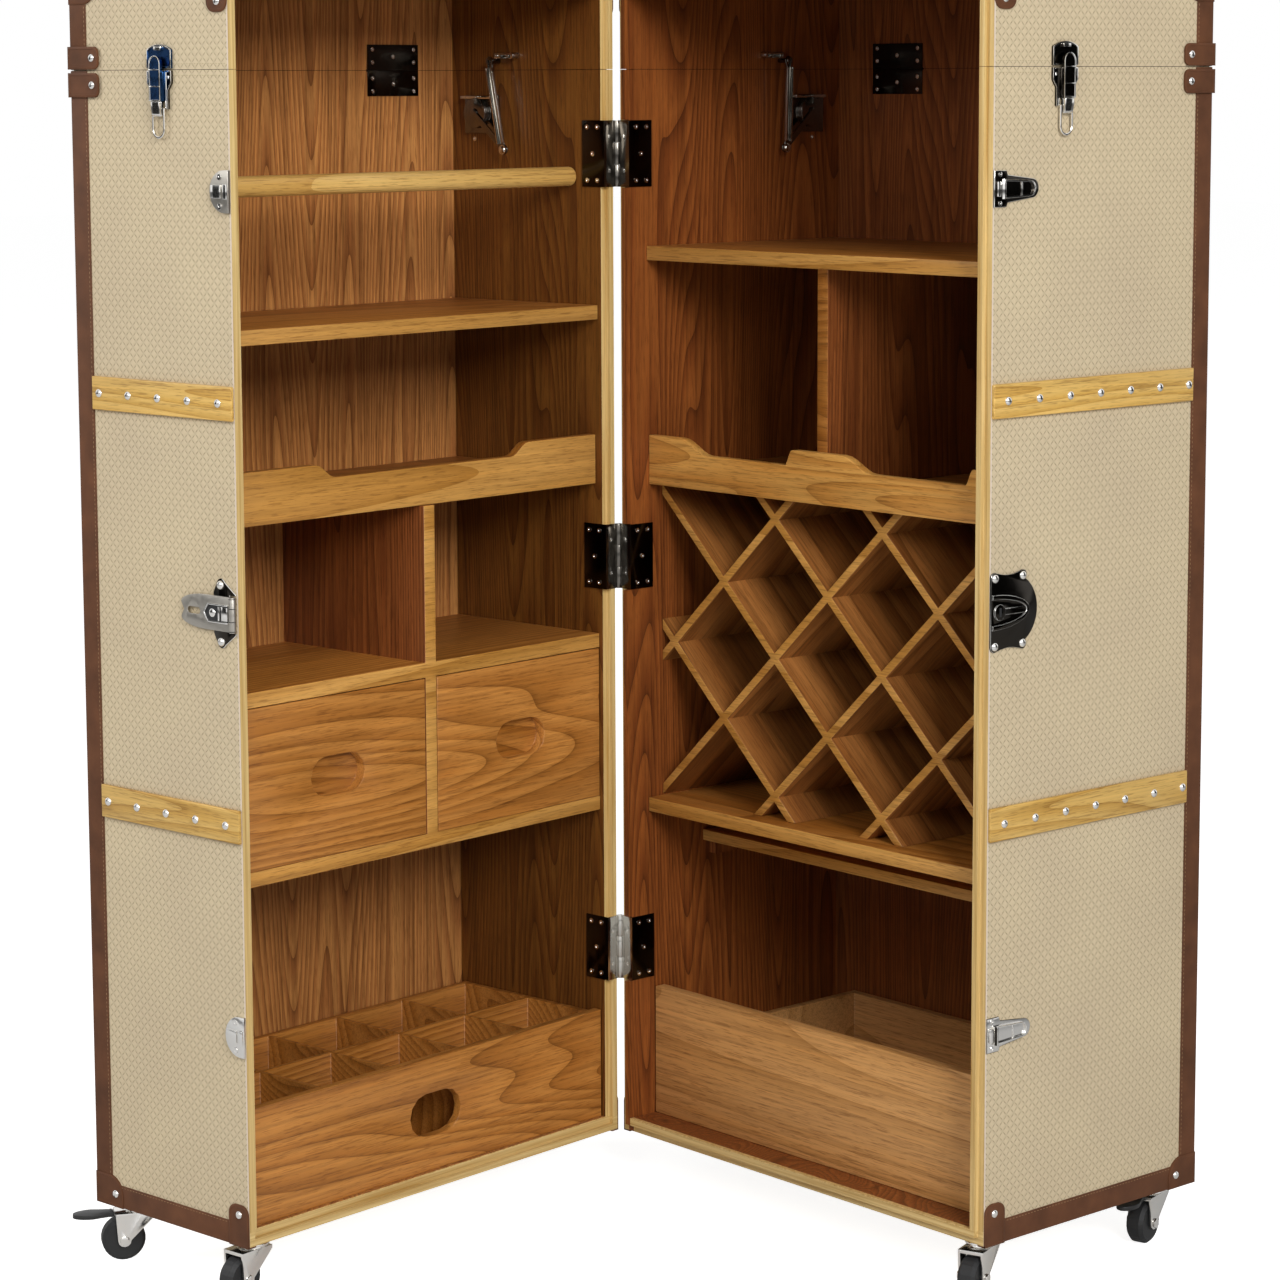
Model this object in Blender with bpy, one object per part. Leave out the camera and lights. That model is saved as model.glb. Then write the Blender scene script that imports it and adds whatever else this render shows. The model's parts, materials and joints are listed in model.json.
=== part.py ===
"""A bar cabinet in a tall steamer trunk: two halves that open like a book on three hinges, each with its own
lid, shelves, drawers and casters. Metres, +Z up, origin on the floor under the middle of the open trunk."""

import math

import bmesh
import bpy
from mathutils import Matrix, Vector

# Trunk halves. Each is measured in its own frame: u from the outer face of the hinged wall, v from the opening
# into the depth, z from the trunk's underside.
WIDTH = 0.628
RIGHT_DEPTH = 0.372
LEFT_DEPTH = 0.272
LID_HEIGHT = 0.111
OPEN_ANGLE = 83.5
WALL = 0.016
BACK = 0.009
FLOOR = 0.018
LID_TOP = 0.018
LID_SEAM = 0.0006
RIM_STRIP = 0.008
RIM_STEP = 0.006
RIM_PLAY = 0.0007

# Fits
FIT = 0.0003
SLIDE_PLAY = 0.0012
PAST = 0.010
BOARD = 0.018

# Trunk hinges and lid hinges
LEAF = 0.0013
LEAF_SEAM = 0.0002
HINGE_OUT = 0.005
HINGE_LENGTH = 0.082
HINGE_LOW = 0.198
HINGE_HIGH_DROP = 0.1445
HINGE_FLANGE = 0.036
HINGE_BARREL = 0.0045
HINGE_PIN = 0.0022
NOTCH_PLAY = 0.001
LID_AXIS_OUT = 0.0042
LID_HINGE_START = 0.080
LID_HINGE_LENGTH = 0.088
LID_HINGE_FLANGE = 0.032
LID_BARREL = 0.0036
LID_PIN = 0.0018
KNUCKLE_GAP = 0.0004
KNUCKLE_GRIP = 0.006
BORE_PLAY = 0.0003

# Right half, from the floor up: the bin, the serving board, the rack and the bays over it
RIGHT_TOP_BAY = 0.218
RIGHT_TOP_SHELF_FRONT = 0.028
RIGHT_DIVIDER_FRONT = 0.044
RIGHT_MIDDLE_BAY = 0.263
RIGHT_GALLERY_FRONT = 0.031
RACK_SPACE = 0.4005
RACK_SHELF_LIFT = 0.0365
RACK_SHELF_FRONT = 0.029
RACK_FRONT = 0.053
RACK_BACK_SPACE = 0.012
RACK_BOARD = 0.010
RACK_HALF_WIDTH = 0.092
RACK_HALF_HEIGHT = 0.086
RACK_LINES = (-3, -1, 1, 3)
SERVING_LEVEL = 0.363
SERVING_THICKNESS = 0.014
SERVING_FRONT = 0.121
SERVING_BACK_SPACE = 0.014
RUNNER_FRONT = 0.134
RUNNER_HEIGHT = 0.018
RUNNER_WIDTH = 0.012
BIN_TOP = 0.184
BIN_FRONT = 0.038
BIN_FRONT_THICKNESS = 0.016
BIN_SIDE_TOP = 0.131
BIN_SIDE_INSET = 0.042
BIN_SIDE = 0.012
BIN_BASE = 0.008
BIN_BACK_SPACE = 0.006

# Left half, from the seam down: the bays between its boards
LEFT_FRONT = 0.012
LEFT_TOP_BAY = 0.291
LEFT_GLASS_BAY = 0.188
LEFT_GALLERY_FRONT = 0.017
LEFT_LOW_BAY = 0.1895
DRAWER_SPACE = 0.1905
DRAWER_FRONT = 0.014
DRAWER_SIDE = 0.010
DRAWER_BASE = 0.006
DRAWER_SIDE_DROP = 0.016
DRAWER_BACK_SPACE = 0.006
PULL_WIDTH = 0.086
PULL_HEIGHT = 0.047
TRAY_TOP = 0.158
TRAY_FRONT = 0.012
TRAY_SIDE = 0.010
TRAY_BASE = 0.008
TRAY_SIDE_DROP = 0.004
TRAY_DIVIDER = 0.006
TRAY_COLUMNS = 5
TRAY_ROWS = 2
TRAY_PULL_HEIGHT = 0.053
ROD_DROP = 0.132
ROD_DEPTH = 0.057
ROD_DIAMETER = 0.024
ROD_DOME = 0.004

# Gallery boards: thickness, height at the ends, and how low the troughs dip. Troughs are given as the distance
# from a side wall to where each slope starts, and the run of that slope.
GALLERY_BOARD = 0.0125
GALLERY_HEIGHT = 0.062
LEFT_DIP = 0.016
LEFT_SLOPE_START = 0.121
LEFT_SLOPE_RUN = 0.031
RIGHT_DIP = 0.019
RIGHT_FALL_START = 0.056
RIGHT_FALL_RUN = 0.052
RIGHT_RISE_START = 0.246
RIGHT_RISE_RUN = 0.012
RIGHT_SECOND_FALL = 0.254
RIGHT_SECOND_RISE = 0.052
SLOPE_POINTS = 6

# Lid stays: each pivot is its distance from the back's outer face, and its drop below or rise above the seam.
# A housing runs between two distances from the back.
STAY_PIVOT_DROP = 0.054
STAY_TOP_RISE = 0.011
RIGHT_STAY_PIVOT = 0.070
RIGHT_STAY_TOP = 0.116
RIGHT_ARM = 0.067
RIGHT_LINK = 0.1105
RIGHT_HOUSING = (0.099, 0.040)
LEFT_STAY_PIVOT = 0.060
LEFT_STAY_TOP = 0.092
LEFT_ARM = 0.071
LEFT_LINK = 0.113
LEFT_HOUSING = (0.092, 0.033)
HOUSING_PLATE = 0.003
HOUSING_DEPTH = 0.014
HOUSING_LOW = 0.026
HOUSING_HIGH = 0.022
DRUM_RADIUS = 0.019
BAR_THICKNESS = 0.002
BAR_WIDTH = 0.008
EYE_RADIUS = 0.006
EYE_POINTS = 12
RIVET_HEAD = 0.0008
BAR_GAP = 0.0004
STAY_PIN = 0.003

# Lid latches, on the outer wall. Heights count from the seam under the lid.
LID_LATCH_DEPTH = 0.115
STRIKE_WIDTH = 0.042
STRIKE_HEIGHT = 0.027
STRIKE_ARCH = 0.006
STRIKE_LIFT = 0.0015
STRIKE_THICKNESS = 0.0022
STRIKE_CATCH = (0.012, 0.004, 0.0055)
LATCH_LEVER_WIDTH = 0.019
LATCH_LEVER_PIVOT_DROP = 0.048
LATCH_LEVER_REACH = 0.016
LATCH_LEVER_THICKNESS = 0.0045
LATCH_LEVER_HEEL = 0.0054

# Trunk latches, lock plate and hasp, on the outer walls. Drops count from the seam, the level from the underside.
RIM_CLEARANCE = 0.0006
PLATE_THICKNESS = 0.002
TOP_LATCH_DROP = 0.135
BOTTOM_LATCH_LEVEL = 0.2485
LATCH_EARS = (0.020, 0.041)
LATCH_TAIL_LENGTH = 0.073
LATCH_TAIL_ROOT = 0.031
LATCH_TAIL_TIP = 0.022
LATCH_PIVOT = 0.012
LATCH_BARREL = 0.003
DRAW_LEVER_LENGTH = 0.0515
DRAW_LEVER_ROOT = 0.022
DRAW_LEVER_TIP = 0.018
DRAW_LEVER_THICKNESS = 0.003
CATCH_LENGTH = 0.031
CATCH_HEIGHT = 0.048
CATCH_THICKNESS = 0.004
LOCK_DROP = 0.611
LOCK_LENGTH = 0.077
LOCK_HEIGHT = 0.091
LOCK_THICKNESS = 0.0022
LOCK_RELIEF = 0.0038
KEY_RELIEF = 0.0041
KEY_RADIUS = 0.009
KEY_DEPTH = 0.014
LOCK_EAR = 0.0065
LOCK_EAR_SPAN = 0.053
LOCK_SCALLOP = 0.003
LOCK_FAR_RADIUS = 0.0412
ALMOND_REACH = 0.061
ALMOND_HALF_HEIGHT = 0.020
ALMOND_BEAD = 0.005
LOCK_BAR = (0.007, 0.0032)
HASP_BASE_LENGTH = 0.028
HASP_BASE_START = 0.012
HASP_BASE_SHOULDER = 0.0235
HASP_LUG = (0.0026, 0.0215)
HASP_EAR = 0.0075
HASP_EAR_PLACE = (0.027, 0.0325)
HASP_PIVOT = 0.0055
HASP_BARREL = 0.0042
HASP_REACH = 0.088
HASP_HEIGHT = 0.040
HASP_THICKNESS = 0.002
HASP_TIP = 0.017
HASP_SHOULDER = 0.052
HASP_NOTCH = 0.005
HASP_SLOT = (0.022, 0.008)
HASP_SLOT_BACK = 0.022

# Casters
CASTER_HEIGHT = 0.072
CASTER_INSET = 0.035
WHEEL_DIAMETER = 0.052
WHEEL_WIDTH = 0.022
WHEEL_ROUNDING = 0.004
WHEEL_SIDES = 28
CASTER_TRAIL = 0.022
AXLE_RADIUS = 0.004
AXLE_PLAY = 0.0004
AXLE_HEAD = 0.0012
AXLE_SIDES = 16
CHEEK_GAP = 0.002
CHEEK = 0.003
CROWN_THICKNESS = 0.004
CROWN_GAP = 0.003
CROWN_FRONT = 0.016
CROWN_BACK = 0.010
HUB_RADIUS = 0.016
PEDAL_LENGTH = 0.046
PEDAL_WIDTH = 0.026
PEDAL_THICKNESS = 0.005
PEDAL_ROOT = 0.0035
PEDAL_GAP = 0.0005

# Which way each wheel trails, in degrees from +X towards +Y
CASTER_HEADINGS = {
    "right_front": -71,
    "right_back": -76,
    "right_inner": -80,
    "left_front": -81,
    "left_back": -116,
    "left_inner": -95,
}

ROUND_SIDES = 24
SMOOTH_ANGLE = 32.0

# Levels that follow from the sizes above: undersides of boards, the lids' seam, the hinges and the latches
RACK_SHELF = SERVING_LEVEL + SERVING_THICKNESS + RACK_SHELF_LIFT
RIGHT_GALLERY = RACK_SHELF + BOARD + RACK_SPACE
RIGHT_TOP_SHELF = RIGHT_GALLERY + BOARD + RIGHT_MIDDLE_BAY
SPLIT = RIGHT_TOP_SHELF + BOARD + RIGHT_TOP_BAY
TRUNK_HEIGHT = SPLIT + LID_HEIGHT
LEFT_TOP_SHELF = SPLIT - LEFT_TOP_BAY - BOARD
LEFT_GALLERY = LEFT_TOP_SHELF - LEFT_GLASS_BAY - BOARD
DRAWER_TOP_BOARD = LEFT_GALLERY - LEFT_LOW_BAY - BOARD
DRAWER_BASE_BOARD = DRAWER_TOP_BOARD - DRAWER_SPACE - BOARD
ROD_LEVEL = SPLIT - ROD_DROP
HINGE_HIGH = SPLIT - HINGE_HIGH_DROP
HINGE_STATIONS = (HINGE_LOW, (HINGE_LOW + HINGE_HIGH) / 2, HINGE_HIGH)
TOP_LATCH_LEVEL = SPLIT - TOP_LATCH_DROP
LOCK_LEVEL = SPLIT - LOCK_DROP
HINGE_GAP = LEAF_SEAM + LEAF + FIT


class Half:
    """One trunk half: the empty that holds its frame, its depth, and whether it is the mirrored left one."""

    def __init__(self, name, depth, mirrored, empty):
        self.name = name
        self.depth = depth
        self.mirrored = mirrored
        self.empty = empty

    def back_face(self):
        """Where the furniture inside stops short of the back panel."""
        return self.depth - BACK - FIT


def clear_scene():
    for obj in list(bpy.data.objects):
        bpy.data.objects.remove(obj)


def linear(value):
    """One sRGB channel, 0 to 1, as linear light."""
    return value / 12.92 if value <= 0.04045 else ((value + 0.055) / 1.055) ** 2.4


def finish(name, colour, roughness, metallic):
    """A plain finish from an sRGB hex colour."""
    made = bpy.data.materials.new(name)
    made.use_nodes = True
    shader = made.node_tree.nodes["Principled BSDF"]
    channels = [linear(int(colour[i : i + 2], 16) / 255) for i in (0, 2, 4)]
    shader.inputs["Base Color"].default_value = (*channels, 1.0)
    shader.inputs["Roughness"].default_value = roughness
    shader.inputs["Metallic"].default_value = metallic
    made.diffuse_color = (*channels, 1.0)
    return made


def make_empty(name, parent=None, location=(0, 0, 0), turn=0.0):
    empty = bpy.data.objects.new(name, None)
    bpy.context.scene.collection.objects.link(empty)
    empty.parent = parent
    empty.location = location
    empty.rotation_euler = (0, 0, math.radians(turn))
    return empty


def mesh_of(bm):
    """Closes a bmesh into a mesh whose faces all point out."""
    bmesh.ops.recalc_face_normals(bm, faces=bm.faces)
    mesh = bpy.data.meshes.new("shape")
    bm.to_mesh(mesh)
    bm.free()
    return mesh


def box(u, v, z):
    """A block between three pairs of coordinates."""
    bm = bmesh.new()
    bmesh.ops.create_cube(bm, size=1.0)
    size = [b - a for a, b in (u, v, z)]
    middle = [(a + b) / 2 for a, b in (u, v, z)]
    bmesh.ops.scale(bm, vec=size, verts=bm.verts)
    bmesh.ops.translate(bm, vec=middle, verts=bm.verts)
    return mesh_of(bm)


def rod(start, end, radius, sides=ROUND_SIDES, rounding=0.0):
    """A closed cylinder between two points, with its ends rounded over where a rounding is given."""
    start = Vector(start)
    along = Vector(end) - start
    bm = bmesh.new()
    bmesh.ops.create_cone(bm, cap_ends=True, segments=sides, radius1=radius, radius2=radius, depth=along.length)
    if rounding:
        rims = [edge for edge in bm.edges if edge.verts[0].co.z * edge.verts[1].co.z > 0]
        bmesh.ops.bevel(bm, geom=rims, offset=rounding, segments=3, profile=0.5, affect="EDGES")
    turn = along.to_track_quat("Z", "Y").to_matrix().to_4x4()
    bmesh.ops.transform(bm, matrix=Matrix.Translation(start + along / 2) @ turn, verts=bm.verts)
    return mesh_of(bm)


def extruded(outline, low, high, axis):
    """A closed outline drawn square to an axis (0 is u, 1 is v, 2 is z), extruded along it."""
    bm = bmesh.new()
    corners = []
    for pair in outline:
        point = list(pair)
        point.insert(axis, low)
        corners.append(bm.verts.new(point))
    face = bm.faces.new(corners)
    grown = bmesh.ops.extrude_face_region(bm, geom=[face])
    lift = Vector((0, 0, 0))
    lift[axis] = high - low
    moved = [item for item in grown["geom"] if isinstance(item, bmesh.types.BMVert)]
    bmesh.ops.translate(bm, vec=lift, verts=moved)
    return mesh_of(bm)


def moved(mesh, matrix):
    """Places a mesh, and turns its faces back where the placing mirrors it."""
    mesh.transform(matrix)
    if matrix.determinant() < 0:
        mesh.flip_normals()
    return mesh


def carved(first, add=(), cut=(), keep=()):
    """Joins meshes to the first one, cuts others away and keeps what lies inside the last ones."""
    scene = bpy.context.scene
    body = bpy.data.objects.new("body", first)
    scene.collection.objects.link(body)
    tools = []
    for operation, meshes in (("UNION", add), ("DIFFERENCE", cut), ("INTERSECT", keep)):
        for mesh in meshes:
            tool = bpy.data.objects.new("tool", mesh)
            scene.collection.objects.link(tool)
            modifier = body.modifiers.new(operation, "BOOLEAN")
            modifier.operation = operation
            modifier.solver = "EXACT"
            modifier.object = tool
            tools.append(tool)
    graph = bpy.context.evaluated_depsgraph_get()
    result = bpy.data.meshes.new_from_object(body.evaluated_get(graph))
    for obj in [body, *tools]:
        bpy.data.objects.remove(obj)
    return result


def add_piece(name, mesh, half, material, pivot=(0, 0, 0), parent=None):
    """Makes the named piece of a half, with its origin at the pivot, given in the half's own frame."""
    pivot = Vector(pivot)
    if half.mirrored:
        moved(mesh, Matrix.Scale(-1, 4, (0, 1, 0)))
        pivot.y = -pivot.y
    mesh.transform(Matrix.Translation(-pivot))
    return link_piece(name, mesh, material, parent or half.empty, pivot - (parent.location if parent else Vector()))


def link_piece(name, mesh, material, parent, location):
    mesh.name = name
    mesh.materials.clear()
    mesh.materials.append(material)
    mesh.shade_smooth()
    mesh.set_sharp_from_angle(angle=math.radians(SMOOTH_ANGLE))
    obj = bpy.data.objects.new(name, mesh)
    bpy.context.scene.collection.objects.link(obj)
    obj.parent = parent
    obj.location = location
    return obj


def stadium(middle, width, height, steps=6):
    """A slot with two round ends, about a middle point."""
    radius = height / 2
    points = []
    for side, start in ((1, -90), (-1, 90)):
        for i in range(steps + 1):
            angle = math.radians(start + 180 * i / steps)
            x = middle[0] + side * (width / 2 - radius) + radius * math.cos(angle)
            points.append((x, middle[1] + radius * math.sin(angle)))
    return points


def half_turn(steps=ROUND_SIDES // 2):
    """Angles across a half circle, between but without its two ends."""
    return [math.pi * (i / steps - 0.5) for i in range(1, steps)]


def eased(start, end, steps=SLOPE_POINTS):
    """Points of an S-shaped slope from one point to another, without the first."""
    points = []
    for i in range(1, steps + 1):
        share = i / steps
        rise = (1 - math.cos(math.pi * share)) / 2
        points.append((start[0] + (end[0] - start[0]) * share, start[1] + (end[1] - start[1]) * rise))
    return points


# Trunk shells and lids


def rim_bars(low, high):
    """The raised inner strip of the right rim on both side walls, between two heights."""
    near = RIM_STRIP + RIM_PLAY
    return [
        box((near, WALL), (-RIM_STEP, RIM_STEP), (low, high)),
        box((WIDTH - WALL, WIDTH - near), (-RIM_STEP, RIM_STEP), (low, high)),
    ]


def cross_bar(low, high):
    """The raised strip along the right half's floor or lid top."""
    near = RIM_STRIP + RIM_PLAY
    return box((near, WIDTH - near), (-RIM_STEP, RIM_STEP), (low, high))


def hinge_notches():
    """Cuts that let the hinge leaves lie flat on the right rim."""
    cuts = []
    for start in HINGE_STATIONS:
        span = (start - NOTCH_PLAY, start + HINGE_LENGTH + NOTCH_PLAY)
        cuts.append(box((RIM_STRIP, WALL + PAST), (-RIM_STEP - PAST, 0), span))
    return cuts


def rim_rebates(top):
    """Cuts that sink the inner strip of the left rim, on the hinged side only between the hinge leaves."""
    ends = [RIM_STRIP]
    for start in HINGE_STATIONS:
        ends += [start, start + HINGE_LENGTH]
    ends.append(top + PAST)
    depth = (-PAST, RIM_STEP)
    cuts = [box((RIM_STRIP, WALL + PAST), depth, span) for span in zip(ends[::2], ends[1::2])]
    cuts.append(box((WIDTH - WALL - PAST, WIDTH - RIM_STRIP), depth, (RIM_STRIP, top + PAST)))
    cuts.append(box((RIM_STRIP, WIDTH - RIM_STRIP), depth, (RIM_STRIP, FLOOR + PAST)))
    return cuts


def lid_hinge_notch(half):
    """A shallow cut in the back panel's edges, above and below the seam, for the lid hinge's leaves."""
    span = (LID_HINGE_START - NOTCH_PLAY, LID_HINGE_START + LID_HINGE_LENGTH + NOTCH_PLAY)
    deep = LEAF_SEAM + LEAF + FIT
    return box(span, (half.depth - BACK - PAST, half.depth + PAST), (SPLIT - deep, SPLIT + deep))


def runners(half):
    """The two bearers under the serving board, fixed to the side walls."""
    span = (RUNNER_FRONT, half.depth - BACK - SERVING_BACK_SPACE)
    heights = (SERVING_LEVEL - FIT - RUNNER_HEIGHT, SERVING_LEVEL - FIT)
    inner = (WALL - RIM_STRIP, WALL + RUNNER_WIDTH)
    outer = (WIDTH - WALL - RUNNER_WIDTH, WIDTH - WALL + RIM_STRIP)
    return [box(inner, span, heights), box(outer, span, heights)]


def make_shell(half, material):
    top = SPLIT - LID_SEAM / 2
    case = box((0, WIDTH), (0, half.depth), (0, top))
    hollow = box((WALL, WIDTH - WALL), (-PAST, half.depth - BACK), (FLOOR, top + PAST))
    if half.mirrored:
        mesh = carved(case, cut=[hollow, *rim_rebates(top), lid_hinge_notch(half)])
    else:
        tray = carved(case, cut=[hollow])
        bars = rim_bars(RIM_STRIP + RIM_PLAY, top)
        bars.append(cross_bar(RIM_STRIP + RIM_PLAY, FLOOR))
        mesh = carved(tray, add=bars + runners(half), cut=[*hinge_notches(), lid_hinge_notch(half)])
    return add_piece(f"{half.name}_shell", mesh, half, material)


def make_lid(half, material):
    low = SPLIT + LID_SEAM / 2
    ceiling = TRUNK_HEIGHT - LID_TOP
    inset = TRUNK_HEIGHT - RIM_STRIP
    case = box((0, WIDTH), (0, half.depth), (low, TRUNK_HEIGHT))
    hollow = box((WALL, WIDTH - WALL), (-PAST, half.depth - BACK), (low - PAST, ceiling))
    if half.mirrored:
        depth = (-PAST, RIM_STEP)
        cuts = [
            box((RIM_STRIP, WALL + PAST), depth, (low - PAST, inset)),
            box((WIDTH - WALL - PAST, WIDTH - RIM_STRIP), depth, (low - PAST, inset)),
            box((RIM_STRIP, WIDTH - RIM_STRIP), depth, (ceiling - PAST, inset)),
        ]
        mesh = carved(case, cut=[hollow, *cuts, lid_hinge_notch(half)])
    else:
        cap = carved(case, cut=[hollow])
        bars = rim_bars(low, inset - RIM_PLAY)
        bars.append(cross_bar(ceiling, inset - RIM_PLAY))
        mesh = carved(cap, add=bars, cut=[lid_hinge_notch(half)])
    pivot = (WIDTH / 2, half.depth + LID_AXIS_OUT, SPLIT)
    return add_piece(f"{half.name}_lid", mesh, half, material, pivot)


# Hinges


def bent_leaf(length, bend, flange, barrel, pin, middle):
    """One hinge leaf: x runs from the hinge axis to the flange, y away from the seam, z along the axis.

    The outer leaf carries two knuckles with the pin between them, the middle one a bored knuckle."""
    third = length / 3
    gap = KNUCKLE_GAP / 2
    if middle:
        knuckles = [(third + gap, 2 * third - gap)]
        windows = [(-PAST, third), (2 * third, length + PAST)]
    else:
        knuckles = [(gap, third - gap), (2 * third + gap, length - gap)]
        windows = [(third, 2 * third)]
    low = LEAF_SEAM
    high = LEAF_SEAM + LEAF
    outline = [(0, low), (bend + LEAF, low), (bend + LEAF, flange), (bend, flange), (bend, high), (0, high)]
    plate = extruded(outline, 0, length, 2)
    clear = barrel + KNUCKLE_GAP
    cuts = [box((-PAST, clear), (-PAST, PAST), window) for window in windows]
    barrels = [rod((0, 0, start), (0, 0, end), barrel) for start, end in knuckles]
    leaf = carved(carved(plate, cut=cuts), add=barrels)
    if middle:
        hole = rod((0, 0, -PAST), (0, 0, length + PAST), pin + BORE_PLAY)
        return carved(leaf, cut=[hole])
    bridge = rod((0, 0, knuckles[0][1] - KNUCKLE_GRIP), (0, 0, knuckles[1][0] + KNUCKLE_GRIP), pin)
    return carved(leaf, add=[bridge])


def make_trunk_hinges(halves, material):
    bend = HINGE_OUT + WALL + FIT
    flange = HINGE_GAP + HINGE_FLANGE
    for level, start in zip(("bottom", "middle", "top"), HINGE_STATIONS):
        seat = Matrix.Translation((-HINGE_OUT, -HINGE_GAP, start))
        for half in halves:
            leaf = bent_leaf(HINGE_LENGTH, bend, flange, HINGE_BARREL, HINGE_PIN, half.mirrored)
            pivot = (-HINGE_OUT, -HINGE_GAP, start)
            add_piece(f"hinge_{level}_{half.name}_leaf", moved(leaf, seat), half, material, pivot)


def make_lid_hinge(half, lid, material):
    bend = LID_AXIS_OUT + BACK + FIT
    axis = (LID_HINGE_START, half.depth + LID_AXIS_OUT, SPLIT)
    for level, up, parent in (("lower", -1, None), ("upper", 1, lid)):
        leaf = bent_leaf(LID_HINGE_LENGTH, bend, LID_HINGE_FLANGE, LID_BARREL, LID_PIN, up > 0)
        turn = Matrix(((0, 0, 1, 0), (-1, 0, 0, 0), (0, up, 0, 0), (0, 0, 0, 1)))
        mesh = moved(leaf, Matrix.Translation(axis) @ turn)
        add_piece(f"{half.name}_lid_hinge_{level}", mesh, half, material, axis, parent)


# Shelves and other fixed furniture


def shelf(half, front, underside, thickness=BOARD):
    """A full-width board between the side walls."""
    span = (WALL + FIT, WIDTH - WALL - FIT)
    return box(span, (front, half.back_face()), (underside, underside + thickness))


def divider(half, front, low, high):
    """An upright board in the middle."""
    span = ((WIDTH - BOARD) / 2, (WIDTH + BOARD) / 2)
    return box(span, (front, half.back_face()), (low, high))


def make_right_furniture(half, oak):
    divider_low = RIGHT_GALLERY + BOARD + FIT
    top_shelf = shelf(half, RIGHT_TOP_SHELF_FRONT, RIGHT_TOP_SHELF)
    post = divider(half, RIGHT_DIVIDER_FRONT, divider_low, RIGHT_TOP_SHELF + BOARD / 2)
    add_piece("right_top_shelf", carved(top_shelf, add=[post]), half, oak)
    add_piece("right_rack_shelf", shelf(half, RACK_SHELF_FRONT, RACK_SHELF), half, oak)
    gallery_shelf = shelf(half, RIGHT_GALLERY_FRONT + GALLERY_BOARD / 2, RIGHT_GALLERY)
    front = gallery(half, right_gallery_top(), RIGHT_GALLERY, RIGHT_GALLERY_FRONT)
    add_piece("right_gallery_shelf", carved(gallery_shelf, add=[front]), half, oak)


def gallery(half, crest, underside, front):
    """A gallery board whose upper edge follows the crest, from the hinged wall to the outer wall."""
    near = WALL + FIT
    far = WIDTH - WALL - FIT
    points = [(near, 0), (near, GALLERY_HEIGHT), *crest, (far, GALLERY_HEIGHT), (far, 0)]
    outline = [(u, underside + rise) for u, rise in points]
    return extruded(outline, front, front + GALLERY_BOARD, 1)


def right_gallery_top():
    """Two troughs, each with a long slope down and a short one up."""
    far = WIDTH - WALL
    low = GALLERY_HEIGHT - RIGHT_DIP
    crest = []
    for fall, rise in (
        (WALL + RIGHT_FALL_START, WALL + RIGHT_RISE_START),
        (far - RIGHT_SECOND_FALL, far - RIGHT_SECOND_RISE),
    ):
        crest.append((fall, GALLERY_HEIGHT))
        crest += eased((fall, GALLERY_HEIGHT), (fall + RIGHT_FALL_RUN, low))
        crest.append((rise, low))
        crest += eased((rise, low), (rise + RIGHT_RISE_RUN, GALLERY_HEIGHT))
    return crest


def left_gallery_top():
    """One wide trough between two equal slopes."""
    fall = WALL + LEFT_SLOPE_START
    rise = WIDTH - WALL - LEFT_SLOPE_START - LEFT_SLOPE_RUN
    low = GALLERY_HEIGHT - LEFT_DIP
    crest = [(fall, GALLERY_HEIGHT)]
    crest += eased((fall, GALLERY_HEIGHT), (fall + LEFT_SLOPE_RUN, low))
    crest.append((rise, low))
    return crest + eased((rise, low), (rise + LEFT_SLOPE_RUN, GALLERY_HEIGHT))


def make_wine_rack(half, oak):
    """Two crossing sets of slanted boards, trimmed to the space between the rack shelf and the gallery shelf."""
    low = RACK_SHELF + BOARD + FIT
    high = RIGHT_GALLERY - FIT
    span = (RACK_FRONT, half.depth - BACK - RACK_BACK_SPACE)
    middle = Vector((WIDTH / 2, 0, (low + high) / 2))
    slant = math.atan2(RACK_HALF_HEIGHT, RACK_HALF_WIDTH)
    boards = []
    for lean in (1, -1):
        for line in RACK_LINES:
            strip = box((-WIDTH, WIDTH), span, (-RACK_BOARD / 2, RACK_BOARD / 2))
            place = Matrix.Translation(middle + Vector((line * RACK_HALF_WIDTH, 0, 0)))
            boards.append(moved(strip, place @ Matrix.Rotation(lean * slant, 4, "Y")))
    trim = box((WALL + FIT, WIDTH - WALL - FIT), (0, half.depth), (low, high))
    add_piece("wine_rack", carved(boards[0], add=boards[1:], keep=[trim]), half, oak)


def make_serving_board(half, material):
    near = WALL + SLIDE_PLAY
    span = (SERVING_FRONT, half.depth - BACK - SERVING_BACK_SPACE)
    heights = (SERVING_LEVEL, SERVING_LEVEL + SERVING_THICKNESS)
    mesh = box((near, WIDTH - near), span, heights)
    add_piece("serving_board", mesh, half, material, (WIDTH / 2, SERVING_FRONT, SERVING_LEVEL))


def make_bin(half, material):
    """The deep drawer at the bottom: a full-width front on a narrower open box."""
    low = FLOOR + FIT
    near = WALL + SLIDE_PLAY
    face = (BIN_FRONT, BIN_FRONT + BIN_FRONT_THICKNESS)
    front = box((near, WIDTH - near), face, (low, BIN_TOP))
    inset = WALL + BIN_SIDE_INSET
    back = half.depth - BACK - BIN_BACK_SPACE
    walls = box((inset, WIDTH - inset), (BIN_FRONT + BIN_FRONT_THICKNESS / 2, back), (low, BIN_SIDE_TOP))
    hollow = box(
        (inset + BIN_SIDE, WIDTH - inset - BIN_SIDE),
        (face[1], back - BIN_SIDE),
        (low + BIN_BASE, BIN_SIDE_TOP + PAST),
    )
    trunk = carved(walls, cut=[hollow])
    add_piece("bin_drawer", carved(trunk, add=[front]), half, material, (WIDTH / 2, BIN_FRONT, low))


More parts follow.
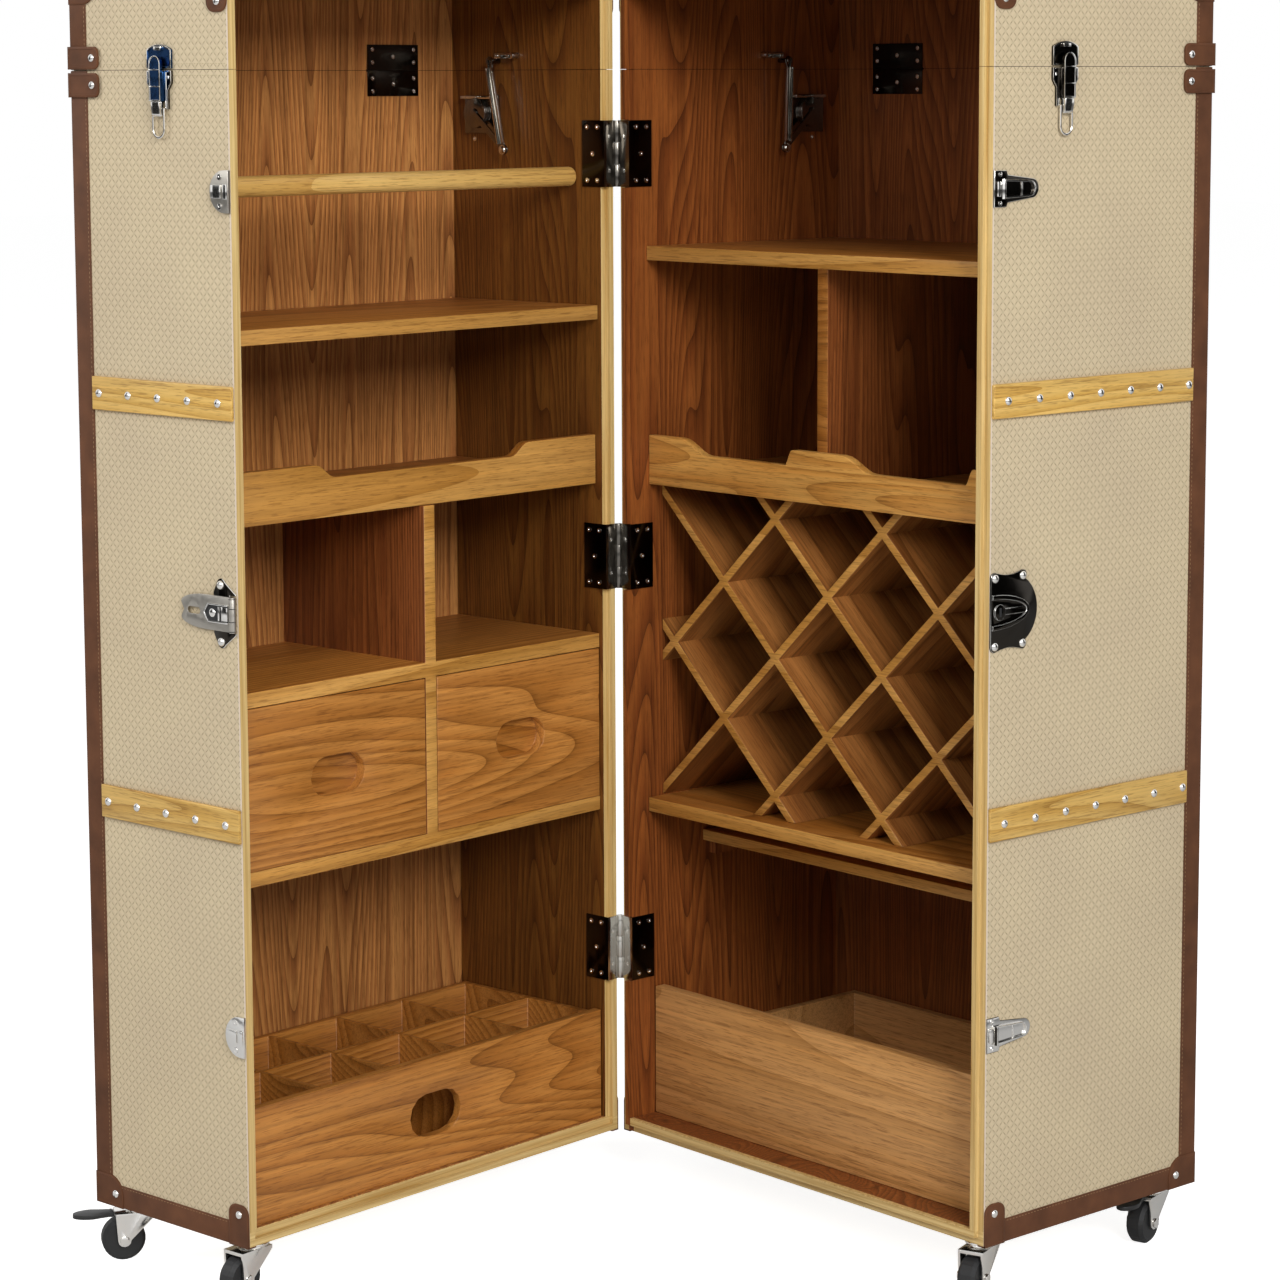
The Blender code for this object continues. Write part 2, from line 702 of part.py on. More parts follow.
def make_left_furniture(half, oak, pine):
    add_piece("left_top_shelf", shelf(half, LEFT_FRONT, LEFT_TOP_SHELF), half, oak)
    gallery_shelf = shelf(half, LEFT_GALLERY_FRONT + GALLERY_BOARD / 2, LEFT_GALLERY)
    front = gallery(half, left_gallery_top(), LEFT_GALLERY, LEFT_GALLERY_FRONT)
    add_piece("left_gallery_shelf", carved(gallery_shelf, add=[front]), half, oak)
    base = shelf(half, LEFT_FRONT, DRAWER_BASE_BOARD)
    top = shelf(half, LEFT_FRONT, DRAWER_TOP_BOARD)
    upright = divider(half, LEFT_FRONT, DRAWER_BASE_BOARD + BOARD / 2, LEFT_GALLERY - FIT)
    add_piece("drawer_case", carved(base, add=[top, upright]), half, oak)
    start = (WALL + FIT, ROD_DEPTH, ROD_LEVEL)
    end = (WIDTH - WALL - FIT, ROD_DEPTH, ROD_LEVEL)
    add_piece("hanging_rod", rod(start, end, ROD_DIAMETER / 2, rounding=ROD_DOME), half, pine)


def make_drawer(half, name, span, material):
    """One small drawer: an inset front with a finger recess, on an open box with its own front wall."""
    low = DRAWER_BASE_BOARD + BOARD + FIT
    high = DRAWER_TOP_BOARD - SLIDE_PLAY
    near = span[0] + SLIDE_PLAY
    far = span[1] - SLIDE_PLAY
    inner_face = LEFT_FRONT + DRAWER_FRONT
    back = half.depth - BACK - DRAWER_BACK_SPACE
    block = box((near, far), (LEFT_FRONT, back), (low, high))
    side_top = high - DRAWER_SIDE_DROP
    hollow = box((near + DRAWER_SIDE, far - DRAWER_SIDE), (inner_face + DRAWER_SIDE, back - DRAWER_SIDE),
                 (low + DRAWER_BASE, high + PAST))
    lowered = box((near - PAST, far + PAST), (inner_face, back + PAST), (side_top, high + PAST))
    middle = ((near + far) / 2, (low + high) / 2)
    pull = extruded(stadium(middle, PULL_WIDTH, PULL_HEIGHT), LEFT_FRONT - PAST, inner_face, 1)
    mesh = carved(block, cut=[hollow, lowered, pull])
    add_piece(name, mesh, half, material, (middle[0], LEFT_FRONT, low))


def make_bottle_tray(half, material):
    """A shallow drawer with two rows of square places for bottles."""
    low = FLOOR + FIT
    near = WALL + SLIDE_PLAY
    far = WIDTH - near
    inner_face = LEFT_FRONT + TRAY_FRONT
    back = half.depth - BACK - DRAWER_BACK_SPACE
    rim = TRAY_TOP - TRAY_SIDE_DROP
    cuts = []
    wide = (far - near - 2 * TRAY_SIDE - (TRAY_COLUMNS - 1) * TRAY_DIVIDER) / TRAY_COLUMNS
    long = (back - TRAY_SIDE - inner_face - (TRAY_ROWS - 1) * TRAY_DIVIDER) / TRAY_ROWS
    for column in range(TRAY_COLUMNS):
        for row in range(TRAY_ROWS):
            u = near + TRAY_SIDE + column * (wide + TRAY_DIVIDER)
            v = inner_face + row * (long + TRAY_DIVIDER)
            cuts.append(box((u, u + wide), (v, v + long), (low + TRAY_BASE, rim + PAST)))
    middle = ((near + far) / 2, (low + TRAY_TOP) / 2)
    slot = stadium(middle, PULL_WIDTH, TRAY_PULL_HEIGHT)
    cuts.append(extruded(slot, LEFT_FRONT - PAST, inner_face + PAST, 1))
    outline = [(LEFT_FRONT, low), (back, low), (back, rim), (inner_face, rim)]
    outline += [(inner_face, TRAY_TOP), (LEFT_FRONT, TRAY_TOP)]
    block = extruded(outline, near, far, 0)
    add_piece("bottle_tray", carved(block, cut=cuts), half, material, (middle[0], LEFT_FRONT, low))


# Lid stays


def elbow_of(pivot, top, arm, link):
    """Where a folded stay's arm and link meet, on the side of the opening."""
    reach = Vector(top) - Vector(pivot)
    along = (arm**2 - link**2 + reach.length_squared) / (2 * reach.length)
    aside = math.sqrt(arm**2 - along**2)
    forward = Vector((-reach.y, reach.x)).normalized()
    return Vector(pivot) + reach.normalized() * along + forward * aside


def flat_bar(start, end, low, high):
    """A bar with an eye at each end, from one (v, z) point to another, between two distances u."""
    neck = math.asin(BAR_WIDTH / 2 / EYE_RADIUS)
    outline = []
    for point, other in ((Vector(end), Vector(start)), (Vector(start), Vector(end))):
        back = other - point
        first = math.atan2(back.y, back.x) + neck
        sweep = 2 * (math.pi - neck)
        for i in range(EYE_POINTS + 1):
            angle = first + sweep * i / EYE_POINTS
            outline.append(point + EYE_RADIUS * Vector((math.cos(angle), math.sin(angle))))
    return extruded(outline, low, high, 0)


def make_stay(half, lid, nickel, pivot_inset, top_inset, arm, link, housing):
    pivot = (half.depth - pivot_inset, SPLIT - STAY_PIVOT_DROP)
    top = (half.depth - top_inset, SPLIT + STAY_TOP_RISE)
    housing_span = [half.depth - inset for inset in housing]
    elbow = elbow_of(pivot, top, arm, link)
    wall = WALL + FIT
    face = WALL + HOUSING_DEPTH
    heights = (pivot[1] - HOUSING_LOW, pivot[1] + HOUSING_HIGH)
    plate = box((wall, wall + HOUSING_PLATE), housing_span, heights)
    drum = rod((wall + HOUSING_PLATE / 2, *pivot), (face, *pivot), DRUM_RADIUS)
    add_piece(f"{half.name}_stay_housing", carved(plate, add=[drum]), half, nickel)
    arm_plane = (face + FIT, face + FIT + BAR_THICKNESS)
    link_plane = (arm_plane[1] + BAR_GAP, arm_plane[1] + BAR_GAP + BAR_THICKNESS)
    arm_bar = flat_bar(pivot, elbow, *arm_plane)
    add_piece(f"{half.name}_stay_arm", arm_bar, half, nickel, (face, *pivot))
    pin = rod((wall, *top), (link_plane[1] + RIVET_HEAD, *top), STAY_PIN)
    link_bar = carved(flat_bar(top, elbow, *link_plane), add=[pin])
    add_piece(f"{half.name}_stay_link", link_bar, half, nickel, (face, *top), lid)


# Latches on the outer walls


def arc(middle, radius, start, end, steps=8):
    """Points of a circle between two angles in degrees."""
    turns = [math.radians(start + (end - start) * i / steps) for i in range(steps + 1)]
    return [(middle[0] + radius * math.cos(turn), middle[1] + radius * math.sin(turn)) for turn in turns]


def make_lid_latch(half, lid, nickel):
    """A strike plate with an arched top on the lid, and the lever that reaches over it."""
    middle = LID_LATCH_DEPTH
    wall = WIDTH + FIT
    low = SPLIT + STRIKE_LIFT
    side = STRIKE_WIDTH / 2
    radius = (side**2 + STRIKE_ARCH**2) / (2 * STRIKE_ARCH)
    spread = math.degrees(math.asin(side / radius))
    crown = arc((middle, low + STRIKE_HEIGHT - radius), radius, 90 - spread, 90 + spread)
    outline = [(middle - side, low), (middle + side, low), *crown]
    plate = extruded(outline, wall, wall + STRIKE_THICKNESS, 0)
    width, height, depth = STRIKE_CATCH
    catch_level = low + STRIKE_HEIGHT - height
    catch = box(
        (wall + STRIKE_THICKNESS / 2, wall + depth),
        (middle - width / 2, middle + width / 2),
        (catch_level - height / 2, catch_level + height / 2),
    )
    add_piece(f"{half.name}_lid_strike", carved(plate, add=[catch]), half, nickel, parent=lid)
    face = wall + STRIKE_CATCH[2] + FIT
    span = (middle - LATCH_LEVER_WIDTH / 2, middle + LATCH_LEVER_WIDTH / 2)
    pivot = (wall + LATCH_LEVER_HEEL, middle, SPLIT - LATCH_LEVER_PIVOT_DROP)
    heel = rod((pivot[0], span[0], pivot[2]), (pivot[0], span[1], pivot[2]), LATCH_LEVER_HEEL)
    bow = LATCH_LEVER_WIDTH / 2
    tip = arc((middle, SPLIT + LATCH_LEVER_REACH - bow), bow, 0, 180)
    handle = extruded([(span[0], pivot[2]), (span[1], pivot[2]), *tip], face, face + LATCH_LEVER_THICKNESS, 0)
    pad = box((wall, face + LATCH_LEVER_THICKNESS / 2), span, (pivot[2], SPLIT - LID_SEAM))
    add_piece(f"{half.name}_lid_lever", carved(handle, add=[heel, pad]), half, nickel, pivot)


def latch_outline(level):
    """Two square ears at the rim and a tail that tapers to a round end."""
    length, height = LATCH_EARS
    ears = RIM_CLEARANCE + length
    tip = LATCH_TAIL_TIP / 2
    end = RIM_CLEARANCE + LATCH_TAIL_LENGTH - tip
    upper = [(RIM_CLEARANCE, height / 2), (ears, height / 2), (ears + PLATE_THICKNESS, LATCH_TAIL_ROOT / 2)]
    lower = [(v, -rise) for v, rise in reversed(upper)]
    round_end = [(end + tip * math.cos(turn), tip * math.sin(turn)) for turn in reversed(half_turn())]
    outline = [*upper, (end, tip), *round_end, (end, -tip), *lower]
    return [(v, level + rise) for v, rise in outline]


def make_draw_latch(half, name, level, nickel):
    """A base plate and a lever that folds back along the wall."""
    wall = WIDTH + FIT
    plate = extruded(latch_outline(level), wall, wall + PLATE_THICKNESS, 0)
    pivot = (wall + PLATE_THICKNESS + FIT + LATCH_BARREL, LATCH_PIVOT, level)
    add_piece(f"{half.name}_{name}_latch_base", plate, half, nickel)
    inner = wall + PLATE_THICKNESS + FIT
    root = DRAW_LEVER_ROOT / 2
    tip = DRAW_LEVER_TIP / 2
    end = LATCH_PIVOT + DRAW_LEVER_LENGTH - tip
    outline = [(LATCH_PIVOT, level + root), (LATCH_PIVOT, level - root), (end, level - tip)]
    outline += [(end + tip * math.cos(turn), level + tip * math.sin(turn)) for turn in half_turn()]
    outline.append((end, level + tip))
    handle = extruded(outline, inner, inner + DRAW_LEVER_THICKNESS, 0)
    barrel = rod((pivot[0], LATCH_PIVOT, level - root), (pivot[0], LATCH_PIVOT, level + root), LATCH_BARREL)
    add_piece(f"{half.name}_{name}_latch_lever", carved(handle, add=[barrel]), half, nickel, pivot)


def make_catch(half, name, level, nickel):
    """The D-shaped plate that a draw latch hooks on."""
    wall = WIDTH + FIT
    radius = CATCH_HEIGHT / 2
    straight = RIM_CLEARANCE + CATCH_LENGTH - radius
    outline = [(RIM_CLEARANCE, level + radius), (RIM_CLEARANCE, level - radius)]
    outline += arc((straight, level), radius, -90, 90, steps=ROUND_SIDES // 2)
    mesh = extruded(outline, wall, wall + CATCH_THICKNESS, 0)
    add_piece(f"{half.name}_{name}_catch", mesh, half, nickel)


def lock_outline():
    """Upper half of the lock plate: a screw ear at each end, a shallow scallop between them, a round far side."""
    rise = LOCK_HEIGHT / 2 - LOCK_EAR
    near = (RIM_CLEARANCE + LOCK_EAR, rise)
    far = (near[0] + LOCK_EAR_SPAN - LOCK_EAR, rise)
    first = arc(near, LOCK_EAR, 180, 60)
    second = arc(far, LOCK_EAR, 120, -40)
    start, end = first[-1], second[0]
    scallop = []
    for i in range(1, SLOPE_POINTS):
        share = i / SLOPE_POINTS
        dip = LOCK_SCALLOP * math.sin(math.pi * share)
        scallop.append((start[0] + (end[0] - start[0]) * share, start[1] - dip))
    middle = (RIM_CLEARANCE + LOCK_LENGTH - LOCK_FAR_RADIUS, 0)
    return first + scallop + second + arc(middle, LOCK_FAR_RADIUS, 53, 0)


def make_lock_plate(half, nickel):
    """A scalloped plate with a raised bead, the key barrel and the bar between them."""
    wall = WIDTH + FIT
    upper = lock_outline()
    lower = [(v, -rise) for v, rise in reversed(upper[:-1])]
    plate = extruded([(v, LOCK_LEVEL + rise) for v, rise in upper + lower], wall, wall + LOCK_THICKNESS, 0)
    inside = wall + LOCK_THICKNESS / 2
    near = RIM_CLEARANCE + LOCK_THICKNESS
    bead = []
    for shrink, turns in ((0, range(-12, 13)), (ALMOND_BEAD, range(12, -13, -1))):
        for step in turns:
            turn = math.pi / 2 * step / 12
            v = near + (ALMOND_REACH - shrink) * math.cos(turn)
            bead.append((v, LOCK_LEVEL + (ALMOND_HALF_HEIGHT - shrink) * math.sin(turn)))
    almond = extruded(bead, inside, wall + LOCK_RELIEF, 0)
    key = (RIM_CLEARANCE + KEY_DEPTH, LOCK_LEVEL)
    barrel = rod((inside, *key), (wall + KEY_RELIEF, *key), KEY_RADIUS)
    height, relief = LOCK_BAR
    span = (key[0], near + ALMOND_REACH - ALMOND_BEAD / 2)
    bar = box((inside, wall + relief), span, (LOCK_LEVEL - height / 2, LOCK_LEVEL + height / 2))
    add_piece("lock_plate", carved(plate, add=[almond, barrel, bar]), half, nickel)


def make_hasp(half, nickel):
    """The base bolted to the left half and the tongue that swings over to the lock plate."""
    wall = WIDTH + FIT
    far = HASP_BASE_START + HASP_BASE_LENGTH
    upper = [(HASP_BASE_START, HASP_LUG[1]), HASP_LUG, (HASP_LUG[0], HASP_BASE_SHOULDER)]
    upper += arc(HASP_EAR_PLACE, HASP_EAR, 150, 30)
    upper.append((far, HASP_BASE_SHOULDER))
    lower = [(v, -rise) for v, rise in reversed(upper)]
    outline = [(v, LOCK_LEVEL + rise) for v, rise in upper + lower]
    base = extruded(outline, wall, wall + PLATE_THICKNESS, 0)
    add_piece("hasp_base", base, half, nickel)
    inner = wall + PLATE_THICKNESS + FIT
    pivot = (wall + HASP_BARREL, HASP_PIVOT, LOCK_LEVEL)
    radius = HASP_HEIGHT / 2
    end = HASP_PIVOT + HASP_REACH
    edge = [(HASP_PIVOT, radius)]
    for i in range(SLOPE_POINTS + 1):
        turn = math.pi / 2 * i / SLOPE_POINTS
        along = HASP_SHOULDER + (end - HASP_SHOULDER) * math.sin(turn)
        edge.append((along, HASP_TIP / 2 + (radius - HASP_TIP / 2) * math.cos(turn)))
    mirrored = [(v, -rise) for v, rise in reversed(edge)]
    outline = [(v, LOCK_LEVEL + rise) for v, rise in [*edge, (end - HASP_NOTCH, 0), *mirrored]]
    tongue = extruded(outline, inner, inner + HASP_THICKNESS, 0)
    low = (pivot[0], HASP_PIVOT, LOCK_LEVEL - radius)
    high = (pivot[0], HASP_PIVOT, LOCK_LEVEL + radius)
    slot = stadium((HASP_PIVOT + HASP_REACH - HASP_SLOT_BACK, LOCK_LEVEL), *HASP_SLOT)
    cut = extruded(slot, inner - PAST, inner + PAST, 0)
    mesh = carved(tongue, add=[rod(low, high, HASP_BARREL)], cut=[cut])
    add_piece("hasp", mesh, half, nickel, pivot)


# Casters, each in its own frame: origin on the floor under the swivel, +X towards the trailing wheel


def turned_ring(bore, radius, width, rounding, sides):
    """A wheel about the Y axis with rounded shoulders, standing on one of its flats."""
    outer = radius / math.cos(math.pi / sides)
    half = width / 2
    profile = [
        (bore, -half),
        (outer - rounding, -half),
        (outer, rounding - half),
        (outer, half - rounding),
        (outer - rounding, half),
        (bore, half),
    ]
    bm = bmesh.new()
    start = math.radians(-90 + 180 / sides)
    ring = [bm.verts.new((r * math.cos(start), y, r * math.sin(start))) for r, y in profile]
    edges = [bm.edges.new((ring[i - 1], ring[i])) for i in range(len(ring))]
    bmesh.ops.spin(
        bm,
        geom=ring + edges,
        cent=(0, 0, 0),
        axis=(0, 1, 0),
        angle=2 * math.pi,
        steps=sides,
        use_merge=True,
    )
    return mesh_of(bm)


def fork_mesh():
    """Hub, crown and two cheeks with the axle between them."""
    radius = WHEEL_DIAMETER / 2
    crown_low = WHEEL_DIAMETER + CROWN_GAP
    crown_high = crown_low + CROWN_THICKNESS
    inner = WHEEL_WIDTH / 2 + CHEEK_GAP
    outer = inner + CHEEK
    span = (-CROWN_FRONT, CASTER_TRAIL + CROWN_BACK)
    sunk = inner + CHEEK / 2
    crown = box(span, (-sunk, sunk), (crown_low, crown_high))
    hub = rod((0, 0, crown_low + CROWN_THICKNESS / 2), (0, 0, CASTER_HEIGHT - FIT), HUB_RADIUS)
    eye = 2 * AXLE_RADIUS
    outline = [(span[0], crown_high), (span[0], crown_low)]
    for i in range(SLOPE_POINTS + 1):
        angle = math.pi * (1 + i / SLOPE_POINTS)
        outline.append((CASTER_TRAIL + eye * math.cos(angle), radius + eye * math.sin(angle)))
    outline += [(span[1], crown_low), (span[1], crown_high)]
    cheeks = [extruded(outline, inner, outer, 1), extruded(outline, -outer, -inner, 1)]
    tip = outer + AXLE_HEAD
    axle = rod((CASTER_TRAIL, -tip, radius), (CASTER_TRAIL, tip, radius), AXLE_RADIUS, sides=AXLE_SIDES)
    return carved(crown, add=[hub, *cheeks, axle])


def pedal_mesh():
    """The leaf-shaped brake pedal behind the crown, hinged on a round root."""
    level = WHEEL_DIAMETER + CROWN_GAP + CROWN_THICKNESS / 2
    root = CASTER_TRAIL + CROWN_BACK + PEDAL_GAP + PEDAL_ROOT
    half = PEDAL_WIDTH / 2
    outline = [(root, -half / 2), (root, half / 2)]
    for i in range(ROUND_SIDES // 2 + 1):
        angle = math.pi * (0.5 - 2 * i / ROUND_SIDES)
        x = root + PEDAL_LENGTH / 2 * (1 + math.cos(angle))
        outline.append((x, half * math.sin(angle)))
    leaf = extruded(outline, level - PEDAL_THICKNESS / 2, level + PEDAL_THICKNESS / 2, 2)
    pin = rod((root, -half / 2, level), (root, half / 2, level), PEDAL_ROOT, sides=AXLE_SIDES)
    return carved(leaf, add=[pin]), Vector((root, 0, level))


def make_caster(half, name, place, heading, braked, steel, rubber, plastic):
    u, v = place
    seat = Vector((u, -v if half.mirrored else v, -CASTER_HEIGHT))
    own_turn = heading + (OPEN_ANGLE if half.mirrored else 0)
    swivel = make_empty(f"caster_{name}", half.empty, seat, own_turn)
    fork = link_piece(f"caster_fork_{name}", fork_mesh(), steel, swivel, (0, 0, 0))
    axle = Vector((CASTER_TRAIL, 0, WHEEL_DIAMETER / 2))
    bore = AXLE_RADIUS + AXLE_PLAY
    wheel = turned_ring(bore, WHEEL_DIAMETER / 2, WHEEL_WIDTH, WHEEL_ROUNDING, WHEEL_SIDES)
    link_piece(f"caster_wheel_{name}", wheel, rubber, fork, axle)
    if braked:
        mesh, hinge = pedal_mesh()
        mesh.transform(Matrix.Translation(-hinge))
        link_piece(f"brake_pedal_{name}", mesh, plastic, fork, hinge)


def centre_on_floor(frame):
    """Moves the whole part so that its box stands on the origin's floor, centred on it."""
    bpy.context.view_layer.update()
    corners = []
    for obj in bpy.data.objects:
        if obj.type == "MESH":
            corners += [obj.matrix_world @ vertex.co for vertex in obj.data.vertices]
    middle = [(min(c[i] for c in corners) + max(c[i] for c in corners)) / 2 for i in (0, 1)]
    frame.location = (-middle[0], -middle[1], 0)
    bpy.context.view_layer.update()


def main():
    clear_scene()
    shell_wood = finish("shell plywood", "8A5C38", 0.55, 0.0)
    oak = finish("oiled oak", "B0763B", 0.45, 0.0)
    light_oak = finish("light oak", "C99A5E", 0.5, 0.0)
    pine = finish("turned pine", "D2A95F", 0.5, 0.0)
    nickel = finish("polished nickel", "C8C6C0", 0.2, 1.0)
    rubber = finish("black tyre rubber", "1E1E1F", 0.6, 0.0)
    plastic = finish("black moulded plastic", "242424", 0.45, 0.0)

    frame = make_empty("bar_cabinet")
    place = (HINGE_OUT, HINGE_GAP, CASTER_HEIGHT)
    right = Half("right", RIGHT_DEPTH, False, make_empty("right_half", frame, place))
    swing = make_empty("left_swing", frame, (0, 0, 0), -OPEN_ANGLE)
    left_place = (HINGE_OUT, -HINGE_GAP, CASTER_HEIGHT)
    left = Half("left", LEFT_DEPTH, True, make_empty("left_half", swing, left_place))

    lids = {}
    for half in (right, left):
        make_shell(half, shell_wood)
        lids[half.name] = make_lid(half, shell_wood)
        make_lid_hinge(half, lids[half.name], nickel)
        make_lid_latch(half, lids[half.name], nickel)
    make_trunk_hinges((right, left), nickel)

    make_right_furniture(right, oak)
    make_wine_rack(right, oak)
    make_serving_board(right, oak)
    make_bin(right, light_oak)

    make_left_furniture(left, oak, pine)
    post = ((WIDTH - BOARD) / 2, (WIDTH + BOARD) / 2)
    make_drawer(left, "drawer_inner", (WALL, post[0]), oak)
    make_drawer(left, "drawer_outer", (post[1], WIDTH - WALL), oak)
    make_bottle_tray(left, oak)

    make_stay(right, lids["right"], nickel, RIGHT_STAY_PIVOT, RIGHT_STAY_TOP, RIGHT_ARM, RIGHT_LINK,
              RIGHT_HOUSING)
    make_stay(left, lids["left"], nickel, LEFT_STAY_PIVOT, LEFT_STAY_TOP, LEFT_ARM, LEFT_LINK, LEFT_HOUSING)

    make_draw_latch(right, "top", TOP_LATCH_LEVEL, nickel)
    make_draw_latch(right, "bottom", BOTTOM_LATCH_LEVEL, nickel)
    make_catch(left, "top", TOP_LATCH_LEVEL, nickel)
    make_catch(left, "bottom", BOTTOM_LATCH_LEVEL, nickel)
    make_lock_plate(right, nickel)
    make_hasp(left, nickel)

    near = CASTER_INSET
    far = WIDTH - CASTER_INSET
    for half, name, spot, braked in (
        (right, "right_front", (far, near), False),
        (right, "right_back", (far, RIGHT_DEPTH - near), True),
        (right, "right_inner", (near, RIGHT_DEPTH - near), False),
        (left, "left_front", (far, near), False),
        (left, "left_back", (far, LEFT_DEPTH - near), True),
        (left, "left_inner", (near, LEFT_DEPTH - near), False),
    ):
        heading = CASTER_HEADINGS[name]
        make_caster(half, name, spot, heading, braked, nickel, rubber, plastic)
    centre_on_floor(frame)


main()
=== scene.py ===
# %% [markdown]
# A steamer trunk that opens into a bar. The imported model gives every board, hinge, latch and wheel at its
# real size. This lesson dresses it: covering, leather, slats, fasteners and finishes. We work in metres and
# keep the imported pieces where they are.

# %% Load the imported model
import json
import math

import bpy
from mathutils import Matrix, Vector

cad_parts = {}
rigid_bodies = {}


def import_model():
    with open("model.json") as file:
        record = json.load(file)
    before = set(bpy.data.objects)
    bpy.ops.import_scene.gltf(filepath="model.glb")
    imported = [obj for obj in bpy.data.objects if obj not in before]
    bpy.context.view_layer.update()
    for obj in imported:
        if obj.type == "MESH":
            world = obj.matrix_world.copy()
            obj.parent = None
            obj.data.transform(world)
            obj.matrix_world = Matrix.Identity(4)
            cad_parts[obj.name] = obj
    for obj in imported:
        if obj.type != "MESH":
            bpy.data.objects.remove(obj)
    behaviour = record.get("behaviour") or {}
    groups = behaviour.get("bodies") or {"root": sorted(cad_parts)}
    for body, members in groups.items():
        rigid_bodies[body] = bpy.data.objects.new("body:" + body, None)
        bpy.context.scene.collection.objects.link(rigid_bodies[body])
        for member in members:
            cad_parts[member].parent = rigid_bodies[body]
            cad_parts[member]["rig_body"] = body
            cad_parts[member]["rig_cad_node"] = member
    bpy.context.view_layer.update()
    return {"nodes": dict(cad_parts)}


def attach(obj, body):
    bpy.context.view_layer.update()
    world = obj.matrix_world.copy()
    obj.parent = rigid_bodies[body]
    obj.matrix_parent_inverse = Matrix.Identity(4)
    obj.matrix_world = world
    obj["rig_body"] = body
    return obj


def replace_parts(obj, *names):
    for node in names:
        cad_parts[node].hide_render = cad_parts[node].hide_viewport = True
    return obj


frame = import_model()
nodes = frame["nodes"]
print(len(nodes), "packed pieces")

# %% [markdown]
# Each half is easiest to dress in its own measure: u from the hinged wall's outer face, v from the opening
# into the depth, z from the underside. Two matrices carry it into the model. The left half stands open by
# 83.5 degrees and is mirrored, because its depth runs the other way.

# %% The two halves' own measures
HINGE = Vector((-0.186313, 0.15703, 0.072))
OPEN_ANGLE = 83.5
WIDTH = 0.628
HEIGHT = 1.46
SEAM = 1.349
WALL = 0.016
BACK = 0.009
DEPTH = {"right": 0.372, "left": 0.272}
swing = Matrix.Rotation(math.radians(-OPEN_ANGLE), 4, "Z")
flip = Matrix.Scale(-1, 4, (0, 1, 0))
PLACE = {
    "right": Matrix.Translation(HINGE + Vector((0.005, 0.0018, 0))),
    "left": Matrix.Translation(HINGE) @ swing @ Matrix.Translation((0.005, -0.0018, 0)) @ flip,
}
print("left half starts at", [round(x, 4) for x in PLACE["left"].translation])

# %% [markdown]
# Habits of working by hand, written down once: work on one piece alone, start from a primitive, pick faces
# or edges by where they are, apply a modifier. A finished piece has its place in its mesh, so that its
# patterns lie still, and it rides on the body that carries it.

# %% Helpers for modelling
MERGE = 0.00001
SMOOTH = math.radians(35)
AIMS = {"u": (0, math.radians(90), 0), "v": (math.radians(90), 0, 0), "z": (0, 0, 0)}


def alone(obj):
    """Selects one object and makes it active."""
    bpy.ops.object.select_all(action="DESELECT")
    obj.select_set(True)
    bpy.context.view_layer.objects.active = obj
    return obj


def applied():
    """The object at work, with its place, turn and size applied to its mesh."""
    bpy.ops.object.transform_apply()
    return bpy.context.object


def block(u, v, z):
    """A cube primitive that fills three spans."""
    bpy.ops.mesh.primitive_cube_add(size=1, location=[(a + b) / 2 for a, b in (u, v, z)])
    bpy.context.object.scale = [b - a for a, b in (u, v, z)]
    return applied()


def disc(centre, radius, thick, axis="u", sides=32):
    """A cylinder primitive whose axis runs along u, v or z."""
    bpy.ops.mesh.primitive_cylinder_add(
        vertices=sides, radius=radius, depth=thick, location=centre, rotation=AIMS[axis]
    )
    return applied()


def pick(obj, test=None, kind="FACE"):
    """Opens edit mode with the faces or edges selected that pass a test, or all without a test."""
    alone(obj)
    bpy.ops.object.mode_set(mode="EDIT")
    bpy.ops.mesh.select_mode(type=kind)
    bpy.ops.mesh.select_all(action="SELECT" if test is None else "DESELECT")
    if test:
        done()
        for item in obj.data.polygons if kind == "FACE" else obj.data.edges:
            item.select = test(item)
        bpy.ops.object.mode_set(mode="EDIT")


def done():
    bpy.ops.object.mode_set(mode="OBJECT")


def modify(obj, kind, **settings):
    """Adds a modifier and applies it."""
    alone(obj)
    modifier = obj.modifiers.new(kind, kind)
    for key, value in settings.items():
        setattr(modifier, key, value)
    bpy.ops.object.modifier_apply(modifier=modifier.name)
    return obj


def eased(obj, width, segments=2, angle=35):
    """Rounds every edge sharper than an angle, as sanding or stamping does."""
    sharp = {"limit_method": "ANGLE", "angle_limit": math.radians(angle)}
    return modify(obj, "BEVEL", width=width, segments=segments, **sharp)


def joined(pieces):
    bpy.ops.object.select_all(action="DESELECT")
    for piece in pieces:
        piece.select_set(True)
    bpy.context.view_layer.objects.active = pieces[0]
    if len(pieces) > 1:
        bpy.ops.object.join()
    return bpy.context.object


def cut_out(outline, axis, start, thick):
    """A plate: one face drawn corner by corner, square to an axis (0 is u, 1 is v, 2 is z), then extruded."""
    corners = [[*pair[:axis], start, *pair[axis:]] for pair in outline]
    mesh = bpy.data.meshes.new("plate")
    mesh.from_pydata(corners, [], [range(len(corners))])
    obj = bpy.data.objects.new("plate", mesh)
    bpy.context.scene.collection.objects.link(obj)
    pick(obj)
    shift = [thick if index == axis else 0 for index in range(3)]
    bpy.ops.mesh.extrude_region_move(TRANSFORM_OT_translate={"value": shift})
    bpy.ops.mesh.select_all(action="SELECT")
    bpy.ops.mesh.normals_make_consistent(inside=False)
    done()
    return obj


